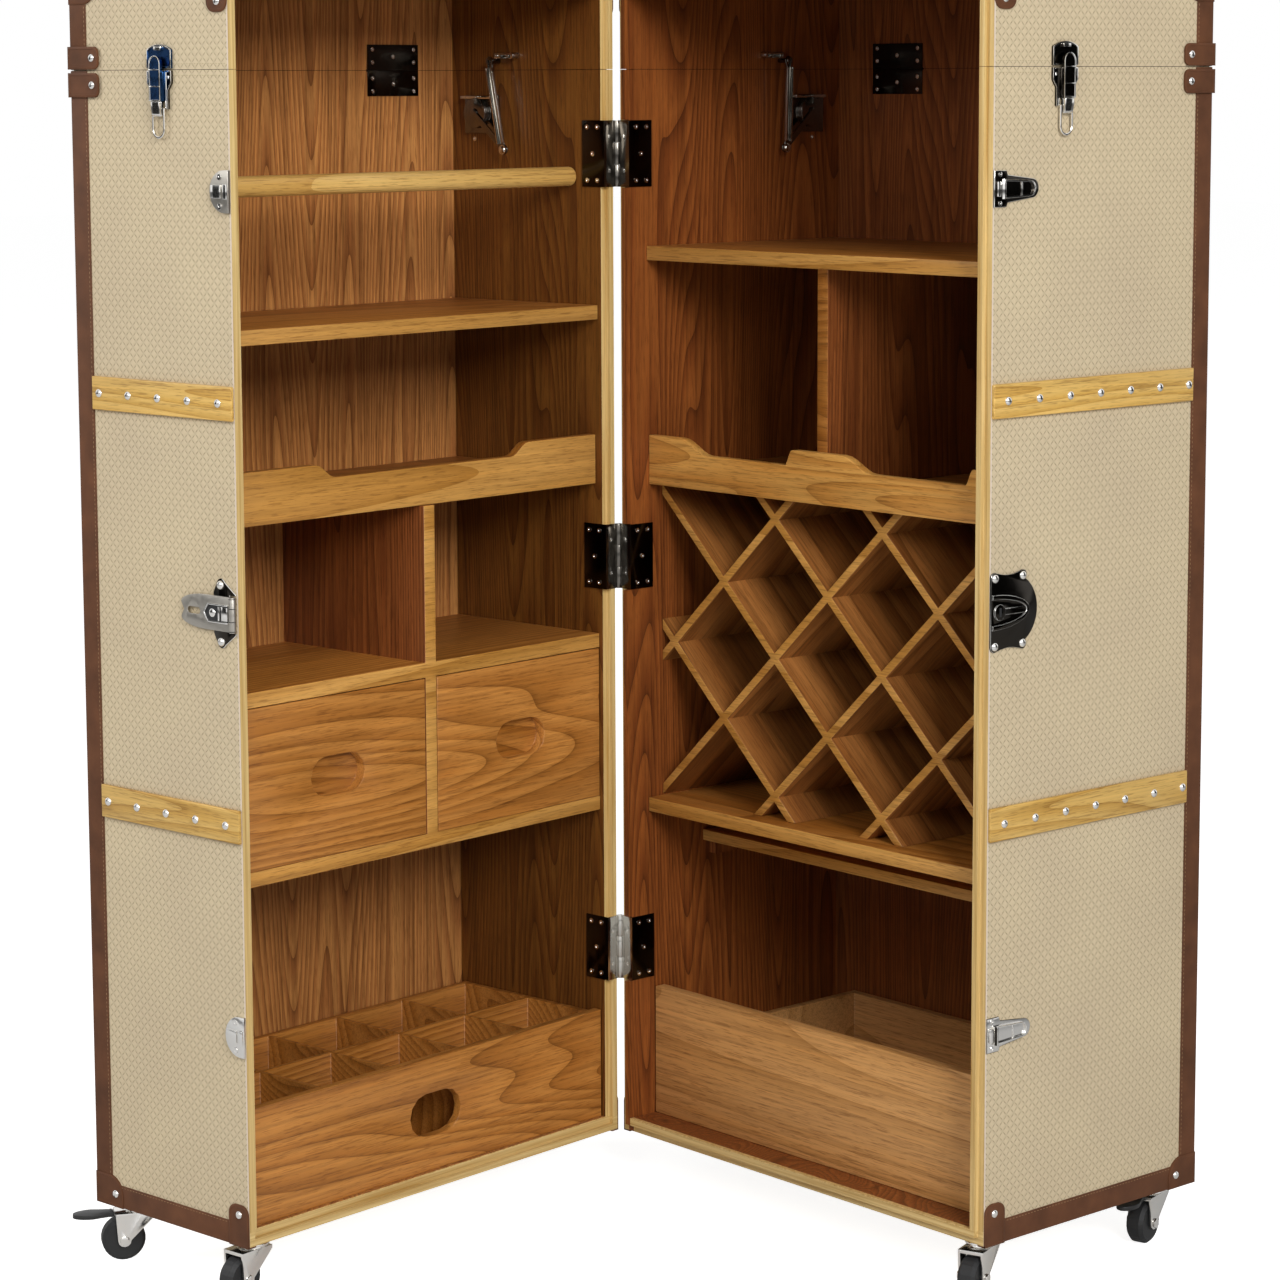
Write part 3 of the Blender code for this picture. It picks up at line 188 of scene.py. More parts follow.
def bow(middle, radius, start, end, steps=10):
    """Points of a circle between two angles in degrees."""
    turns = [math.radians(start + (end - start) * i / steps) for i in range(steps + 1)]
    return [(middle[0] + radius * math.cos(turn), middle[1] + radius * math.sin(turn)) for turn in turns]


def bar(u, v, z, width=0.0004):
    """A block with its edges eased."""
    return eased(block(u, v, z), width)


def sunk(obj, border, depth):
    """Leaves a raised border round the face that looks away from the outer wall."""
    pick(obj, lambda f: f.normal.x > 0.99)
    bpy.ops.mesh.inset(thickness=border, depth=0.0)
    bpy.ops.mesh.inset(thickness=depth * 0.6, depth=-depth)
    done()
    return obj


def repeated(obj, count, step):
    """The same form again and again, a step apart."""
    return modify(obj, "ARRAY", count=count, use_relative_offset=False, use_constant_offset=True,
                  constant_offset_displace=step)


def free_copy(source):
    """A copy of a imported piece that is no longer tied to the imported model."""
    hidden = source.hide_viewport
    source.hide_viewport = False
    alone(source)
    bpy.ops.object.duplicate()
    source.hide_viewport = hidden
    obj = bpy.context.object
    obj.hide_render = False
    obj.parent = None
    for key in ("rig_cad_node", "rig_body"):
        if key in obj:
            del obj[key]
    return obj


def merged(obj):
    """Opens edit mode with everything selected and doubled corners merged."""
    pick(obj)
    bpy.ops.mesh.remove_doubles(threshold=MERGE)


def settle(pieces, name, half, body, material):
    """Joins a list, puts the piece in its half, closes and smooths it, gives it its finish and body."""
    obj = joined(pieces) if isinstance(pieces, list) else pieces
    obj.name = obj.data.name = name
    if half:
        obj.data.transform(PLACE[half])
    merged(obj)
    bpy.ops.mesh.normals_make_consistent(inside=False)
    done()
    bpy.ops.object.shade_smooth_by_angle(angle=SMOOTH)
    obj.data.materials.clear()
    obj.data.materials.append(material)
    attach(obj, body)
    return obj


# %% [markdown]
# Finishes are node materials. One function adds a node with its settings and links, and one turns an sRGB hex
# colour into linear light.

# %% Helpers for materials


def hue(code):
    """An sRGB hex colour as linear RGBA."""
    channels = [int(code[i : i + 2], 16) / 255 for i in (0, 2, 4)]
    return [c / 12.92 if c <= 0.04045 else ((c + 0.055) / 1.055) ** 2.4 for c in channels] + [1.0]


def add(tree, kind, inputs):
    """One node: its settings by name, and for each socket a value or the socket that feeds it."""
    made = tree.nodes.new("ShaderNode" + kind)
    for key, value in inputs.items():
        if isinstance(key, str) and hasattr(made, key):
            setattr(made, key, value)
        elif isinstance(value, bpy.types.NodeSocket):
            tree.links.new(value, made.inputs[key])
        else:
            made.inputs[key].default_value = value
    return made


def maths(tree, operation, *terms):
    return add(tree, "Math", {"operation": operation, **dict(enumerate(terms))}).outputs[0]


def either(tree, share, first, second):
    """A number between two others."""
    return add(tree, "Mix", {"data_type": "FLOAT", 0: share, 2: first, 3: second}).outputs[0]


def blend(tree, share, first, second, way="MIX"):
    """A colour between two others."""
    made = add(tree, "Mix", {"data_type": "RGBA", "blend_type": way, 0: share, 6: first, 7: second})
    return made.outputs[2]


def multiply(tree, first, second, share=1.0):
    return blend(tree, share, first, second, "MULTIPLY")


def noise(tree, vector, scale, detail=2.0, roughness=0.5):
    made = add(tree, "TexNoise", {"Scale": scale, "Detail": detail, "Roughness": roughness, "Vector": vector})
    return made.outputs["Fac"]


def spread(tree, source, **span):
    """A number carried from one span to another."""
    limits = {key.replace("_", " "): value for key, value in span.items()}
    return add(tree, "MapRange", {"Value": source, **limits}).outputs[0]


def place_of(tree, kind="Object"):
    return add(tree, "TexCoord", {}).outputs[kind]


def parts_of(tree, vector):
    return add(tree, "SeparateXYZ", {"Vector": vector}).outputs


def new_material(name, **surface):
    """A material, its tree and its Principled shader, with constants on the shader's own sockets."""
    material = bpy.data.materials.new(name)
    material.use_nodes = True
    shader = material.node_tree.nodes["Principled BSDF"]
    for key, value in surface.items():
        shader.inputs[key.replace("_", " ")].default_value = value
    return material, material.node_tree, shader


def ramp(tree, source, stops):
    """A colour ramp through stops of a place and a colour, the colour as hex or as linear RGB."""
    made = add(tree, "ValToRGB", {"Fac": source})
    elements = made.color_ramp.elements
    while len(elements) < len(stops):
        elements.new(0.5)
    for element, (place, colour) in zip(elements, stops):
        element.position = place
        element.color = hue(colour) if isinstance(colour, str) else [*colour, 1]
    return made.outputs[0]


def bump(tree, shader, height, strength, distance):
    made = add(tree, "Bump", {"Strength": strength, "Distance": distance, "Height": height})
    tree.links.new(made.outputs["Normal"], shader.inputs["Normal"])


# %% [markdown]
# Wood is drawn as the saw finds it. A noise stretched along the board stands for the growth rings, and its
# contour lines are the cathedral figure: each ring darkens slowly and ends in a sharp line, so the fraction
# of the noise goes through a ramp. Finer stretched noises are the early wood's streaks and the pores, drawn
# at about 2 mm because real ones of 0.2 mm don't show. The pattern is laid in the half's own measure, so
# grain runs true in both halves.

# %% Wood
FIBRE = 0.016
STREAKS = (230.0, 3.0, 0.62)
PORES = (620.0, 2.0, 0.7)
PLAIN = (1, 1, 1)


def own_measure(tree, side):
    """Object coordinates turned into u, v and z of one half."""
    mirror, turn = ((1, -1, 1), -OPEN_ANGLE) if side == "left" else ((1, 1, 1), 0)
    made = add(tree, "Mapping", {"Location": PLACE[side].inverted().translation, "Scale": mirror,
                                 "Rotation": (0, 0, math.radians(turn)), "Vector": place_of(tree)})
    return made.outputs[0]


def stretch(tree, vector, grain, ratio, seed=0.0, tilt=0.0):
    """A pattern space squeezed along the grain. A tilt turns it about v first, for slanted boards."""
    if tilt:
        vector = add(tree, "Mapping", {"Rotation": (0, tilt, 0), "Vector": vector}).outputs[0]
    scale = [ratio if axis == grain else 1 for axis in "uvz"]
    return add(tree, "Mapping", {"Location": (seed, seed, seed), "Scale": scale, "Vector": vector}).outputs[0]


def rimmed(tree, colour, place, early, limit, inner, shade):
    """A box's pale front edge, grained along each of its boards, and a painted shade on its wall by the
    hinges.
    """
    u, v, z = parts_of(tree, place)
    by_hinge = maths(tree, "LESS_THAN", u, WALL + 0.0015)
    hinge_wall_shaded = blend(tree, by_hinge, colour, shade, "MULTIPLY")
    brown = maths(tree, "MULTIPLY", maths(tree, "GREATER_THAN", u, inner), by_hinge)
    front = maths(tree, "LESS_THAN", v, limit)
    front = add(tree, "Math", {"operation": "SUBTRACT", "use_clamp": True, 0: front, 1: brown}).outputs[0]
    level = noise(tree, stretch(tree, place, "u", FIBRE), *STREAKS)
    away = maths(tree, "ABSOLUTE", maths(tree, "SUBTRACT", z, HEIGHT / 2))
    ends = maths(tree, "GREATER_THAN", away, HEIGHT / 2 - 0.017)
    edge = ramp(tree, either(tree, ends, early, level), [(0.3, "B08A4A"), (0.62, "DABE82")])
    return blend(tree, front, hinge_wall_shaded, edge)


def wood(name, tones, grain, side, rings=30.0, board=0.16, streak=0.75, rough=0.42, seed=0.0, tilt=0.0,
         rim=None, run=0.085):
    """tones: ring line, body, light. rim: depth of the pale edge, its start at the hinges, painted shade on
    the wall there.
    """
    material, tree, shader = new_material(name, Roughness=rough, Specular_IOR_Level=0.35)
    place = own_measure(tree, side)
    long = stretch(tree, place, grain, run, seed, tilt)
    ring = maths(tree, "FRACT", maths(tree, "MULTIPLY", noise(tree, long, 1 / board, 1.2, 0.3), rings))
    line, body, light = (Vector(hue(tone)[:3]) for tone in tones)
    line = body.lerp(line, 0.62)
    figure = ramp(tree, ring, [(0.0, line), (0.08, body.lerp(line, 0.4)), (0.26, body), (0.8, light),
                               (1.0, body.lerp(light, 0.6))])
    early = noise(tree, stretch(tree, place, grain, FIBRE, seed, tilt), *STREAKS)
    stripes = ramp(tree, early, [(0.33, (0.56, 0.5, 0.45)), (0.5, PLAIN), (0.68, (1.3, 1.27, 1.2))])
    pore = noise(tree, stretch(tree, place, grain, 0.05, seed, tilt), *PORES)
    marks = ramp(tree, pore, [(0.36, (0.6, 0.54, 0.48)), (0.47, PLAIN)])
    drift = ramp(tree, noise(tree, long, 4.0), [(0.3, (0.84, 0.8, 0.76)), (0.7, (1.12, 1.1, 1.08))])
    colour = multiply(tree, multiply(tree, figure, stripes, streak), marks, 0.8)
    colour = multiply(tree, colour, drift)
    if rim:
        colour = rimmed(tree, colour, place, early, *rim)
    tree.links.new(colour, shader.inputs["Base Color"])
    bump(tree, shader, early, 0.1, 0.0004)
    return material


# The third entry darkens the wall by the hinges: painted shade, strong in the left half.
RIM = {"right": (0.0004, 0.0085, (1.0, 0.95, 0.8, 1)), "left": (0.0064, 0.02, (0.36, 0.3, 0.17, 1))}
# One veneer lines both halves; the left half's copy is lighter, painted light for its back wall that the
# lamps reach.
VENEER = {"right": ("341808", "76401D", "8C5227"), "left": ("5A3214", "A06838", "BA8349")}
OAK = ("6B3F16", "9A6124", "B07636")
PALE_OAK = ("9C6A28", "BA873F", "CB9A52")
FIGURED_OAK = ("6A3F14", "A86E30", "BA803E")
WAVY_OAK = ("9C6A2E", "D89C4C", "E2AC5C")
LIGHT_OAK = ("A0703A", "C69458", "D09E62")
RACK = ("55300F", "8A5628", "A06A36")
ASH = ("9A6E26", "CAA254", "D4B066")
PINE = ("B88B46", "D0A75E", "DDB870")
RACK_TILT = math.atan2(0.086, 0.092)
shell_finish, level_oak, upright_oak, edge_oak, ash = {}, {}, {}, {}, {}
for side in DEPTH:
    fine = ("z", side, 44, 0.12, 0.72)
    shell_finish[side] = wood(
        f"{side} oak veneer with pale rim", VENEER[side], *fine, rim=RIM[side], run=0.075
    )
    upright_oak[side] = wood(f"{side} upright oiled oak", VENEER["right"], *fine, seed=0.31, run=0.075)
    level_oak[side] = wood(f"{side} level oiled oak", OAK, "u", side, 34, 0.2, 0.5, seed=0.73)
    edge_oak[side] = wood(f"{side} pale oak edging", PALE_OAK, "u", side, 12, 0.2, 0.4, seed=0.12)
    ash[side] = wood(f"{side} ash slats", ASH, "v", side, 16, 0.08, 0.4, 0.38)
front_oak = wood(
    "figured oak of the drawer fronts", FIGURED_OAK, "u", "left", 26, 0.16, 0.5, 0.4, 0.55, run=0.13
)
gallery_oak = wood("wavy oak of the right gallery", WAVY_OAK, "u", "right", 20, 0.09, 0.35, 0.4, 0.9)
lean = ("u", "right", 16, 0.2, 0.6, 0.42)
falling_oak = wood("oak of the falling rack boards", RACK, *lean, 0.2, -RACK_TILT)
rising_oak = wood("oak of the rising rack boards", RACK, *lean, 0.4, RACK_TILT)
light_oak = wood("light oak of the bin", LIGHT_OAK, "u", "right", 12, 0.2, 0.45, 0.45, 0.5)
pine = wood("turned pine", PINE, "u", "left", 8, 0.1, 0.3, 0.33)
print("wood finishes made")

# %% [markdown]
# The covering is vinyl-coated cloth embossed like plaited straw: straps of about 9 mm cross at 45 degrees,
# and every second one lies on top. A checker tells which one does, and a strap's height falls off across
# its width and dips at its ends. The colour is darker in these dips and where a strap tucks under, which is
# painted shade, and a pale line along the cloth's edge is a painted highlight on its fold. The trim is tanned
# cowhide: a warm brown with a pebbled grain of about 1 mm.

# %% Covering, leather and thread
STRAP = 0.0088
EDGE_HIGHLIGHT = 0.0026


def fold(tree, source):
    """How near a strap's middle a point is: 0 at its edges, 1 at its middle."""
    return maths(tree, "MULTIPLY", maths(tree, "PINGPONG", source, 0.5), 2.0)


def plaited_cloth(name, code):
    material, tree, shader = new_material(name, Roughness=0.6, Specular_IOR_Level=0.3)
    flat = place_of(tree, "UV")
    straps = add(tree, "Mapping", {"Rotation": (0, 0, math.radians(45)), "Scale": (1 / STRAP, 1 / STRAP, 1),
                                   "Vector": flat}).outputs[0]
    across, along = (fold(tree, part) for part in parts_of(tree, straps)[:2])
    top = add(tree, "TexChecker", {"Scale": 1.0, "Vector": straps}).outputs["Fac"]
    wide, end = either(tree, top, across, along), either(tree, top, along, across)
    dip = spread(tree, end, To_Min=0.4, From_Max=0.4)
    height = maths(tree, "MULTIPLY", maths(tree, "POWER", wide, 0.5), dip)
    tuck_shadow_mask = maths(tree, "MULTIPLY", spread(tree, end, From_Max=0.34, To_Min=1.0, To_Max=0.0), wide)
    relief = either(tree, 0.2, height, noise(tree, flat, 700.0, 3.0, 0.7))
    base = Vector(hue(code)[:3])
    # Darker in the grooves between straps and where a strap tucks under: painted shade.
    groove_shade_tint = ramp(tree, relief, [(0.1, base * 0.84), (0.4, base * 0.98), (0.85, base * 1.04)])
    tuck_shadow = ramp(tree, tuck_shadow_mask, [(0.15, PLAIN), (0.7, (0.5, 0.47, 0.42))])
    drift = ramp(tree, noise(tree, flat, 7.0, 3.0), [(0.3, (0.95, 0.94, 0.94)), (0.7, (1.03, 1.03, 1.01))])
    woven = multiply(tree, multiply(tree, groove_shade_tint, tuck_shadow), drift)
    # A pale line along the cloth's edges is a painted highlight on its fold.
    edge_highlighted = blend(tree, maths(tree, "LESS_THAN", parts_of(tree, flat)[0], EDGE_HIGHLIGHT), woven, hue("D9C9B6"))
    tree.links.new(edge_highlighted, shader.inputs["Base Color"])
    bump(tree, shader, relief, 0.45, 0.0012)
    return material


def leather(name, code):
    material, tree, shader = new_material(name, Roughness=0.62, Specular_IOR_Level=0.22)
    place = place_of(tree)
    pebble = add(tree, "TexVoronoi", {"Scale": 750.0, "feature": "DISTANCE_TO_EDGE", "Vector": place})
    base = Vector(hue(code)[:3])
    tone = ramp(tree, noise(tree, place, 28.0, 5.0), [(0.3, base * 0.72), (0.55, base), (0.8, base * 1.3)])
    tree.links.new(tone, shader.inputs["Base Color"])
    bump(tree, shader, pebble.outputs["Distance"], 0.25, 0.0005)
    return material


def waxed(name, code):
    """Sewing thread: its twist is a fine noise along the stitch."""
    material, tree, shader = new_material(name, Roughness=0.75)
    base = Vector(hue(code)[:3])
    tone = ramp(tree, noise(tree, place_of(tree), 1500.0, 1.0), [(0.35, base * 0.7), (0.65, base)])
    tree.links.new(tone, shader.inputs["Base Color"])
    return material


cloth = plaited_cloth("embossed vinyl cloth", "C9B899")
hide = leather("tanned brown cowhide", "5E3A24")
# Dark strip in the lid seam: painted shade along the seam.
seam_shade_finish = leather("dark seam strip as painted shade", "2A1710")
thread = waxed("waxed linen thread", "9A7A58")
pale_thread = waxed("beige sewing thread", "A8966F")
print("covering and leather made")

# %% [markdown]
# The fittings are stamped steel, plated and polished. A mirror has almost no colour of its own: faint
# buffing marks in its roughness are what the eye reads as metal. Lighter and darker copies of the nickel
# are painted light: the lighter one paints highlights on edges, rims and heads, and the white floor's
# reflection in the lowest fittings; the darker ones paint dark reflections on the faces. The tyres are
# black rubber and the brake pedals are nylon, both dull.

# %% Metal, rubber and nylon


def plated(name, code, rough):
    material, tree, shader = new_material(name, Base_Color=hue(code), Metallic=1.0)
    buff = add(tree, "TexNoise", {"Scale": 160.0, "Detail": 4.0, "Distortion": 0.4, "Vector": place_of(tree)})
    buff = buff.outputs["Fac"]
    tree.links.new(spread(tree, buff, To_Min=rough * 0.7, To_Max=rough * 1.5), shader.inputs["Roughness"])
    bump(tree, shader, buff, 0.03, 0.0004)
    return material


def moulded(name, code, rough, grit):
    material, tree, shader = new_material(name, Base_Color=hue(code), Specular_IOR_Level=0.4)
    grain = noise(tree, place_of(tree), grit, 3.0)
    tree.links.new(spread(tree, grain, To_Min=rough * 0.8, To_Max=rough * 1.2), shader.inputs["Roughness"])
    bump(tree, shader, grain, 0.15, 0.0003)
    return material


nickel = plated("polished nickel plate", "C4C1BA", 0.13)
# A lighter copy of the nickel: painted highlight on edges, rims and small heads, and painted reflection of
# the white floor on the lowest fittings.
nickel_painted_light = plated("nickel lightened as painted highlight", "E6E4E0", 0.1)
satin = plated("satin nickel plate", "B0ABA2", 0.32)
# A dimmer copy of the nickel: painted dark reflection, on the stays and the upper hinges.
nickel_painted_dim = plated("nickel dimmed as painted dark reflection", "6E6A64", 0.16)
# A near-black copy of the nickel: painted dark reflection, on the faces of most fittings.
nickel_painted_black = plated("nickel blackened as painted dark reflection", "38342F", 0.14)
# A blue-black copy of the nickel: painted dark reflection, on the left half's lid latch.
nickel_painted_blue_black = plated("nickel tinted blue-black as painted dark reflection", "26456F", 0.26)
rubber = moulded("moulded black rubber", "1B1B1C", 0.6, 900.0)
nylon = moulded("moulded black nylon", "232323", 0.45, 1200.0)
print("metal, rubber and nylon made")

# %% [markdown]
# The camera comes early, because every later choice is judged through it. It stands where the photograph's
# lines meet: level with the trunk's top, off to the right, and turned 49 degrees to the left.

# %% Camera
CAMERA_PLACE = (3.1468, -2.7421, 1.4048)
CAMERA_TURN = 48.605
CAMERA_PITCH = -7.327
CAMERA_ROLL = 0.213
SENSOR = 36
FOCAL_PIXELS = 3539.5
PHOTO_WIDTH = 1280
bpy.ops.object.camera_add(location=CAMERA_PLACE)
camera = bpy.context.object
camera.rotation_euler = (
    math.radians(90 + CAMERA_PITCH), math.radians(CAMERA_ROLL), math.radians(CAMERA_TURN)
)
camera.data.sensor_width = SENSOR
camera.data.lens = FOCAL_PIXELS / PHOTO_WIDTH * SENSOR
camera.data.shift_y = -0.08
bpy.context.scene.camera = camera
print("lens", round(camera.data.lens, 1), "mm")

# %% [markdown]
# The studio is a pale floor, a white surround and three soft lamps. The floor glows a little towards the
# camera, so that it reads as white paper and still keeps the trunk's shadow. Polished metal needs something
# dark to reflect: two black cards stand where the fittings mirror, one for each outer wall. They stop above
# knee height, so that the lowest latches mirror the white floor, as in the photograph. No camera sees the
# cards, and they cast no shadow.

# %% Studio
LAMP_SHARE = 0.14
FLOOR_GLOW = 0.88
CARD_TOP = 3.2
CARD_WIDTH = 1.1
world = bpy.context.scene.world or bpy.data.worlds.new("studio")
bpy.context.scene.world = world
world.use_nodes = True
sky = world.node_tree
sky.nodes.clear()
path = add(sky, "LightPath", {})
seen = maths(sky, "MAXIMUM", path.outputs["Is Camera Ray"], path.outputs["Is Glossy Ray"])
seen = maths(sky, "MAXIMUM", seen, path.outputs["Is Transmission Ray"])
lamp_share = add(sky, "Background", {"Color": (1, 1, 1, 1), "Strength": LAMP_SHARE})
white = add(sky, "Background", {"Color": (1, 1, 1, 1), "Strength": 1.0})
both = add(sky, "MixShader", {0: seen, 1: lamp_share.outputs[0], 2: white.outputs[0]})
add(sky, "OutputWorld", {"Surface": both.outputs[0]})

bpy.ops.mesh.primitive_plane_add(size=60, location=(0, 0, -0.0005))
floor = bpy.context.object
floor.name = "studio_floor"
floor_paint, floor_tree, floor_shader = new_material(
    "matt white floor", Roughness=0.9, Specular_IOR_Level=0.0, Base_Color=(0.82, 0.82, 0.82, 1),
    Emission_Color=(1, 1, 1, 1)
)
look = add(floor_tree, "LightPath", {}).outputs["Is Camera Ray"]
glow = maths(floor_tree, "MULTIPLY", look, FLOOR_GLOW)
floor_tree.links.new(glow, floor_shader.inputs["Emission Strength"])
floor.data.materials.append(floor_paint)


def lamp(name, place, aim, size, power):
    """A square soft lamp that faces a point."""
    bpy.ops.object.light_add(type="AREA", location=place)
    made = bpy.context.object
    made.name = name
    made.data.shape = "SQUARE"
    made.data.size = size
    made.data.energy = power
    made.rotation_euler = (Vector(aim) - Vector(place)).to_track_quat("-Z", "Y").to_euler()
    return made


lamp("right_lamp", (5.2, -1.9, 3.5), (-0.2, 0, 0.75), 2.2, 278)
lamp("left_lamp", (-3.4, -4.4, 3.5), (-0.3, -0.45, 0.8), 2.2, 140)
lamp("front_lamp", (1.3, -3.2, 2.6), (0, 0, 0.8), 1.2, 24)

black = new_material("black card", Base_Color=(0.01, 0.01, 0.01, 1), Roughness=0.9)[0]
CARDS = (("black_card_right", (1.9, 1.52), 41, 0.4), ("black_card_left", (-1.45, -2.0), 54, 0.62))
for name, (x, y), turn, low in CARDS:
    bpy.ops.object.select_all(action="DESELECT")
    bpy.ops.mesh.primitive_plane_add(size=1, location=(x, y, (low + CARD_TOP) / 2))
    card = bpy.context.object
    card.name = name
    card.scale = (CARD_WIDTH, CARD_TOP - low, 1)
    card.rotation_euler = (math.radians(90), 0, math.radians(turn + 90))
    card.data.materials.append(black)
    card.visible_camera = card.visible_diffuse = card.visible_shadow = False
bpy.context.scene.view_settings.view_transform = "Standard"
print("studio set")

# %% [markdown]
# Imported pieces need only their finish, made for the half that they belong to, so that their grain runs
# true.

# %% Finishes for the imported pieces


def side_of(name):
    return "left" if name.startswith(("left", "drawer", "bottle", "hanging")) or "_left" in name else "right"


# Painted reflection: the lowest fittings take the lighter nickel, for the white floor they mirror; the stays
# take a dimmer copy and the fittings not listed a black one, painted dark reflection.
FINISHES = (
    ("bin_drawer", light_oak), ("hanging_rod", pine), ("brake", nylon), ("caster_wheel", rubber),
    ("caster_fork", nickel_painted_light), ("wine_rack", falling_oak), ("left_bottom_catch", nickel_painted_light), ("catch", satin),
    ("right_bottom_latch", nickel_painted_light), ("stay", nickel_painted_dim),
)
for name, obj in nodes.items():
    side = side_of(name)
    if name.endswith(("shell", "_lid")):
        finish = shell_finish[side]
    elif name == "hasp":
        finish = satin
    elif any(word in name for word in ("shelf", "drawer_", "board", "tray")):
        finish = level_oak[side]
    else:
        finish = next((made for word, made in FINISHES if word in name), nickel_painted_black)
    for slot in obj.material_slots:
        slot.material = finish
print("packed pieces finished")

# %% [markdown]
# Boards leave the joiner with their edges broken by sandpaper, and stamped metal has soft corners. A copy
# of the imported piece, merged and eased by a fraction of a millimetre, catches a line of light along each
# edge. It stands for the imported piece, which keeps its place in the simulation. Shelf fronts are lipped
# with paler oak, uprights have upright grain, and the rack's boards have it along their slant, so faces are
# sorted by where they point.

# %% Softened copies
BOARD_EDGE = 0.0009
METAL_EDGE = 0.0006
THIN_EDGE = 0.00045
DRAWER_FRONT = 0.0245


def painted(obj, side, finishes):
    """Gives some faces another finish. finishes: (material, test of normal and centre in own measure)."""
    own = PLACE[side].inverted()
    for material, _ in finishes:
        obj.data.materials.append(material)
    for face in obj.data.polygons:
        normal, centre = own.to_3x3() @ face.normal, own @ face.center
        for index, (_, test) in enumerate(finishes):
            if test(normal, centre):
                face.material_index = index + 1
    return obj


def softened(name, width, finishes=()):
    """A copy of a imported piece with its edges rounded."""
    source = nodes[name]
    obj = free_copy(source)
    merged(obj)
    bpy.ops.mesh.dissolve_limited(angle_limit=math.radians(1))
    done()
    eased(obj, width, 2, 30)
    settle(obj, f"dressed_{name}", None, source["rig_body"], source.material_slots[0].material)
    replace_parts(painted(obj, side_of(name), finishes), name)


def lipped(front):
    """Front edges at one depth get the paler lipping."""
    return lambda n, c: n.y < -0.7 and abs(c.y - front) < 0.002


def slanted(sign):
    """The boards of the rack that lean one way."""
    return lambda n, c: abs(n.x) > 0.2 and abs(n.z) > 0.2 and n.x * n.z * sign > 0


def lined(material):
    """The rounded edges of a plate on an outer wall in another nickel copy: a light one paints a highlight
    along them, a dark one a dark outline.
    """
    return [(material, lambda n, c: 0.2 < n.x < 0.97)]


FRONTS = {
    "right_top_shelf": 0.028, "right_rack_shelf": 0.029, "serving_board": 0.121,
    "left_top_shelf": 0.012, "drawer_case": 0.012, "left_gallery_shelf": 0.017,
}
for name, front in FRONTS.items():
    side = side_of(name)
    upright = (upright_oak[side], lambda n, c: abs(n.x) > 0.7)
    softened(name, BOARD_EDGE, [upright, (edge_oak[side], lipped(front))])
softened("right_gallery_shelf", BOARD_EDGE, [(gallery_oak, lambda n, c: c.y < 0.046)])
slants = [(falling_oak, slanted(1)), (rising_oak, slanted(-1)), (edge_oak["right"], lipped(0.053))]
softened("wine_rack", 0.0008, slants)
softened("bin_drawer", BOARD_EDGE)
for name in ("bottle_tray", "drawer_inner", "drawer_outer"):
    softened(name, BOARD_EDGE, [(front_oak, lambda n, c: c.y < DRAWER_FRONT)])
for name in nodes:
    # Hinge leaves: front strip and knuckles are plain nickel on the bottom hinges and a dimmer copy on the
    # others, painted reflection by height; the rest is the black copy, painted dark reflection.
    if "leaf" in name:
        softened(name, THIN_EDGE, [(nickel if "bottom" in name else nickel_painted_dim, lambda n, c: c.x < WALL - 0.001)])
    elif name == "lock_plate":
        softened(name, 0.001, lined(nickel_painted_light))
    elif name == "hasp_base" or "_latch_base" in name or "latch_lever" in name:
        softened(name, METAL_EDGE, lined(nickel_painted_black if name.startswith("right_bottom") else nickel_painted_light))
    elif any(word in name for word in ("stay", "catch", "latch", "hasp", "lid_hinge")):
        softened(name, THIN_EDGE)
    elif "caster_fork" in name or "brake" in name:
        softened(name, 0.0008)
print("softened copies made")

# %% [markdown]
# The covering is one sheet of cloth glued over each box: a cube a hair larger than the box, open towards
# the opening and the seam, given 0.2 mm by Solidify. Its UV map is the wall's own measure in metres, so
# that the weave keeps its size on every wall.

# %% Covering
BOXES = [
    (side, part, f"{side}_{body}", deep)
    for side, deep in DEPTH.items() for part, body in (("shell", "half"), ("lid", "lid"))
]
PROUD = 0.00024
SHEET = 0.0002
SLIT = 0.0003


def measured_uv(obj):
    """Each face's UV is where it lies on its wall, in metres."""
    layer = obj.data.uv_layers.active or obj.data.uv_layers.new(name="measure")
    for face in obj.data.polygons:
        axis = max(range(3), key=lambda i: abs(face.normal[i]))
        across, up = [(1, 2), (0, 2), (0, 1)][axis]
        for loop in face.loop_indices:
            point = obj.data.vertices[obj.data.loops[loop].vertex_index].co
            layer.data[loop].uv = (point[across], point[up])


for side, part, body, deep in BOXES:
    tall, open_end = ((-PROUD, SEAM - SLIT), 1) if part == "shell" else ((SEAM + SLIT, HEIGHT + PROUD), -1)
    sheet = block((-PROUD, WIDTH + PROUD), (0.0002, deep + PROUD), tall)
    pick(sheet, lambda f, e=open_end: f.normal.y < -0.9 or f.normal.z * e > 0.9)
    bpy.ops.mesh.delete(type="FACE")
    done()
    modify(sheet, "SOLIDIFY", thickness=SHEET, offset=-1)
    measured_uv(sheet)
    settle(sheet, f"cloth_{side}_{part}", side, body, cloth)
print("covering made")

# %% [markdown]
# Leather strips fold over the trunk's outer edges. A strip starts as a cube along the edge, is cut at the
# corner line, and the small face beyond it is extruded down the other wall. The same strip serves all
# edges: a matrix turns it to its edge and its two walls.

# %% Leather strips


def aimed(along, across, out):
    """The turn that carries x, y and z to three directions."""
    return Matrix((Vector(along), Vector(across), Vector(out))).transposed().to_4x4()


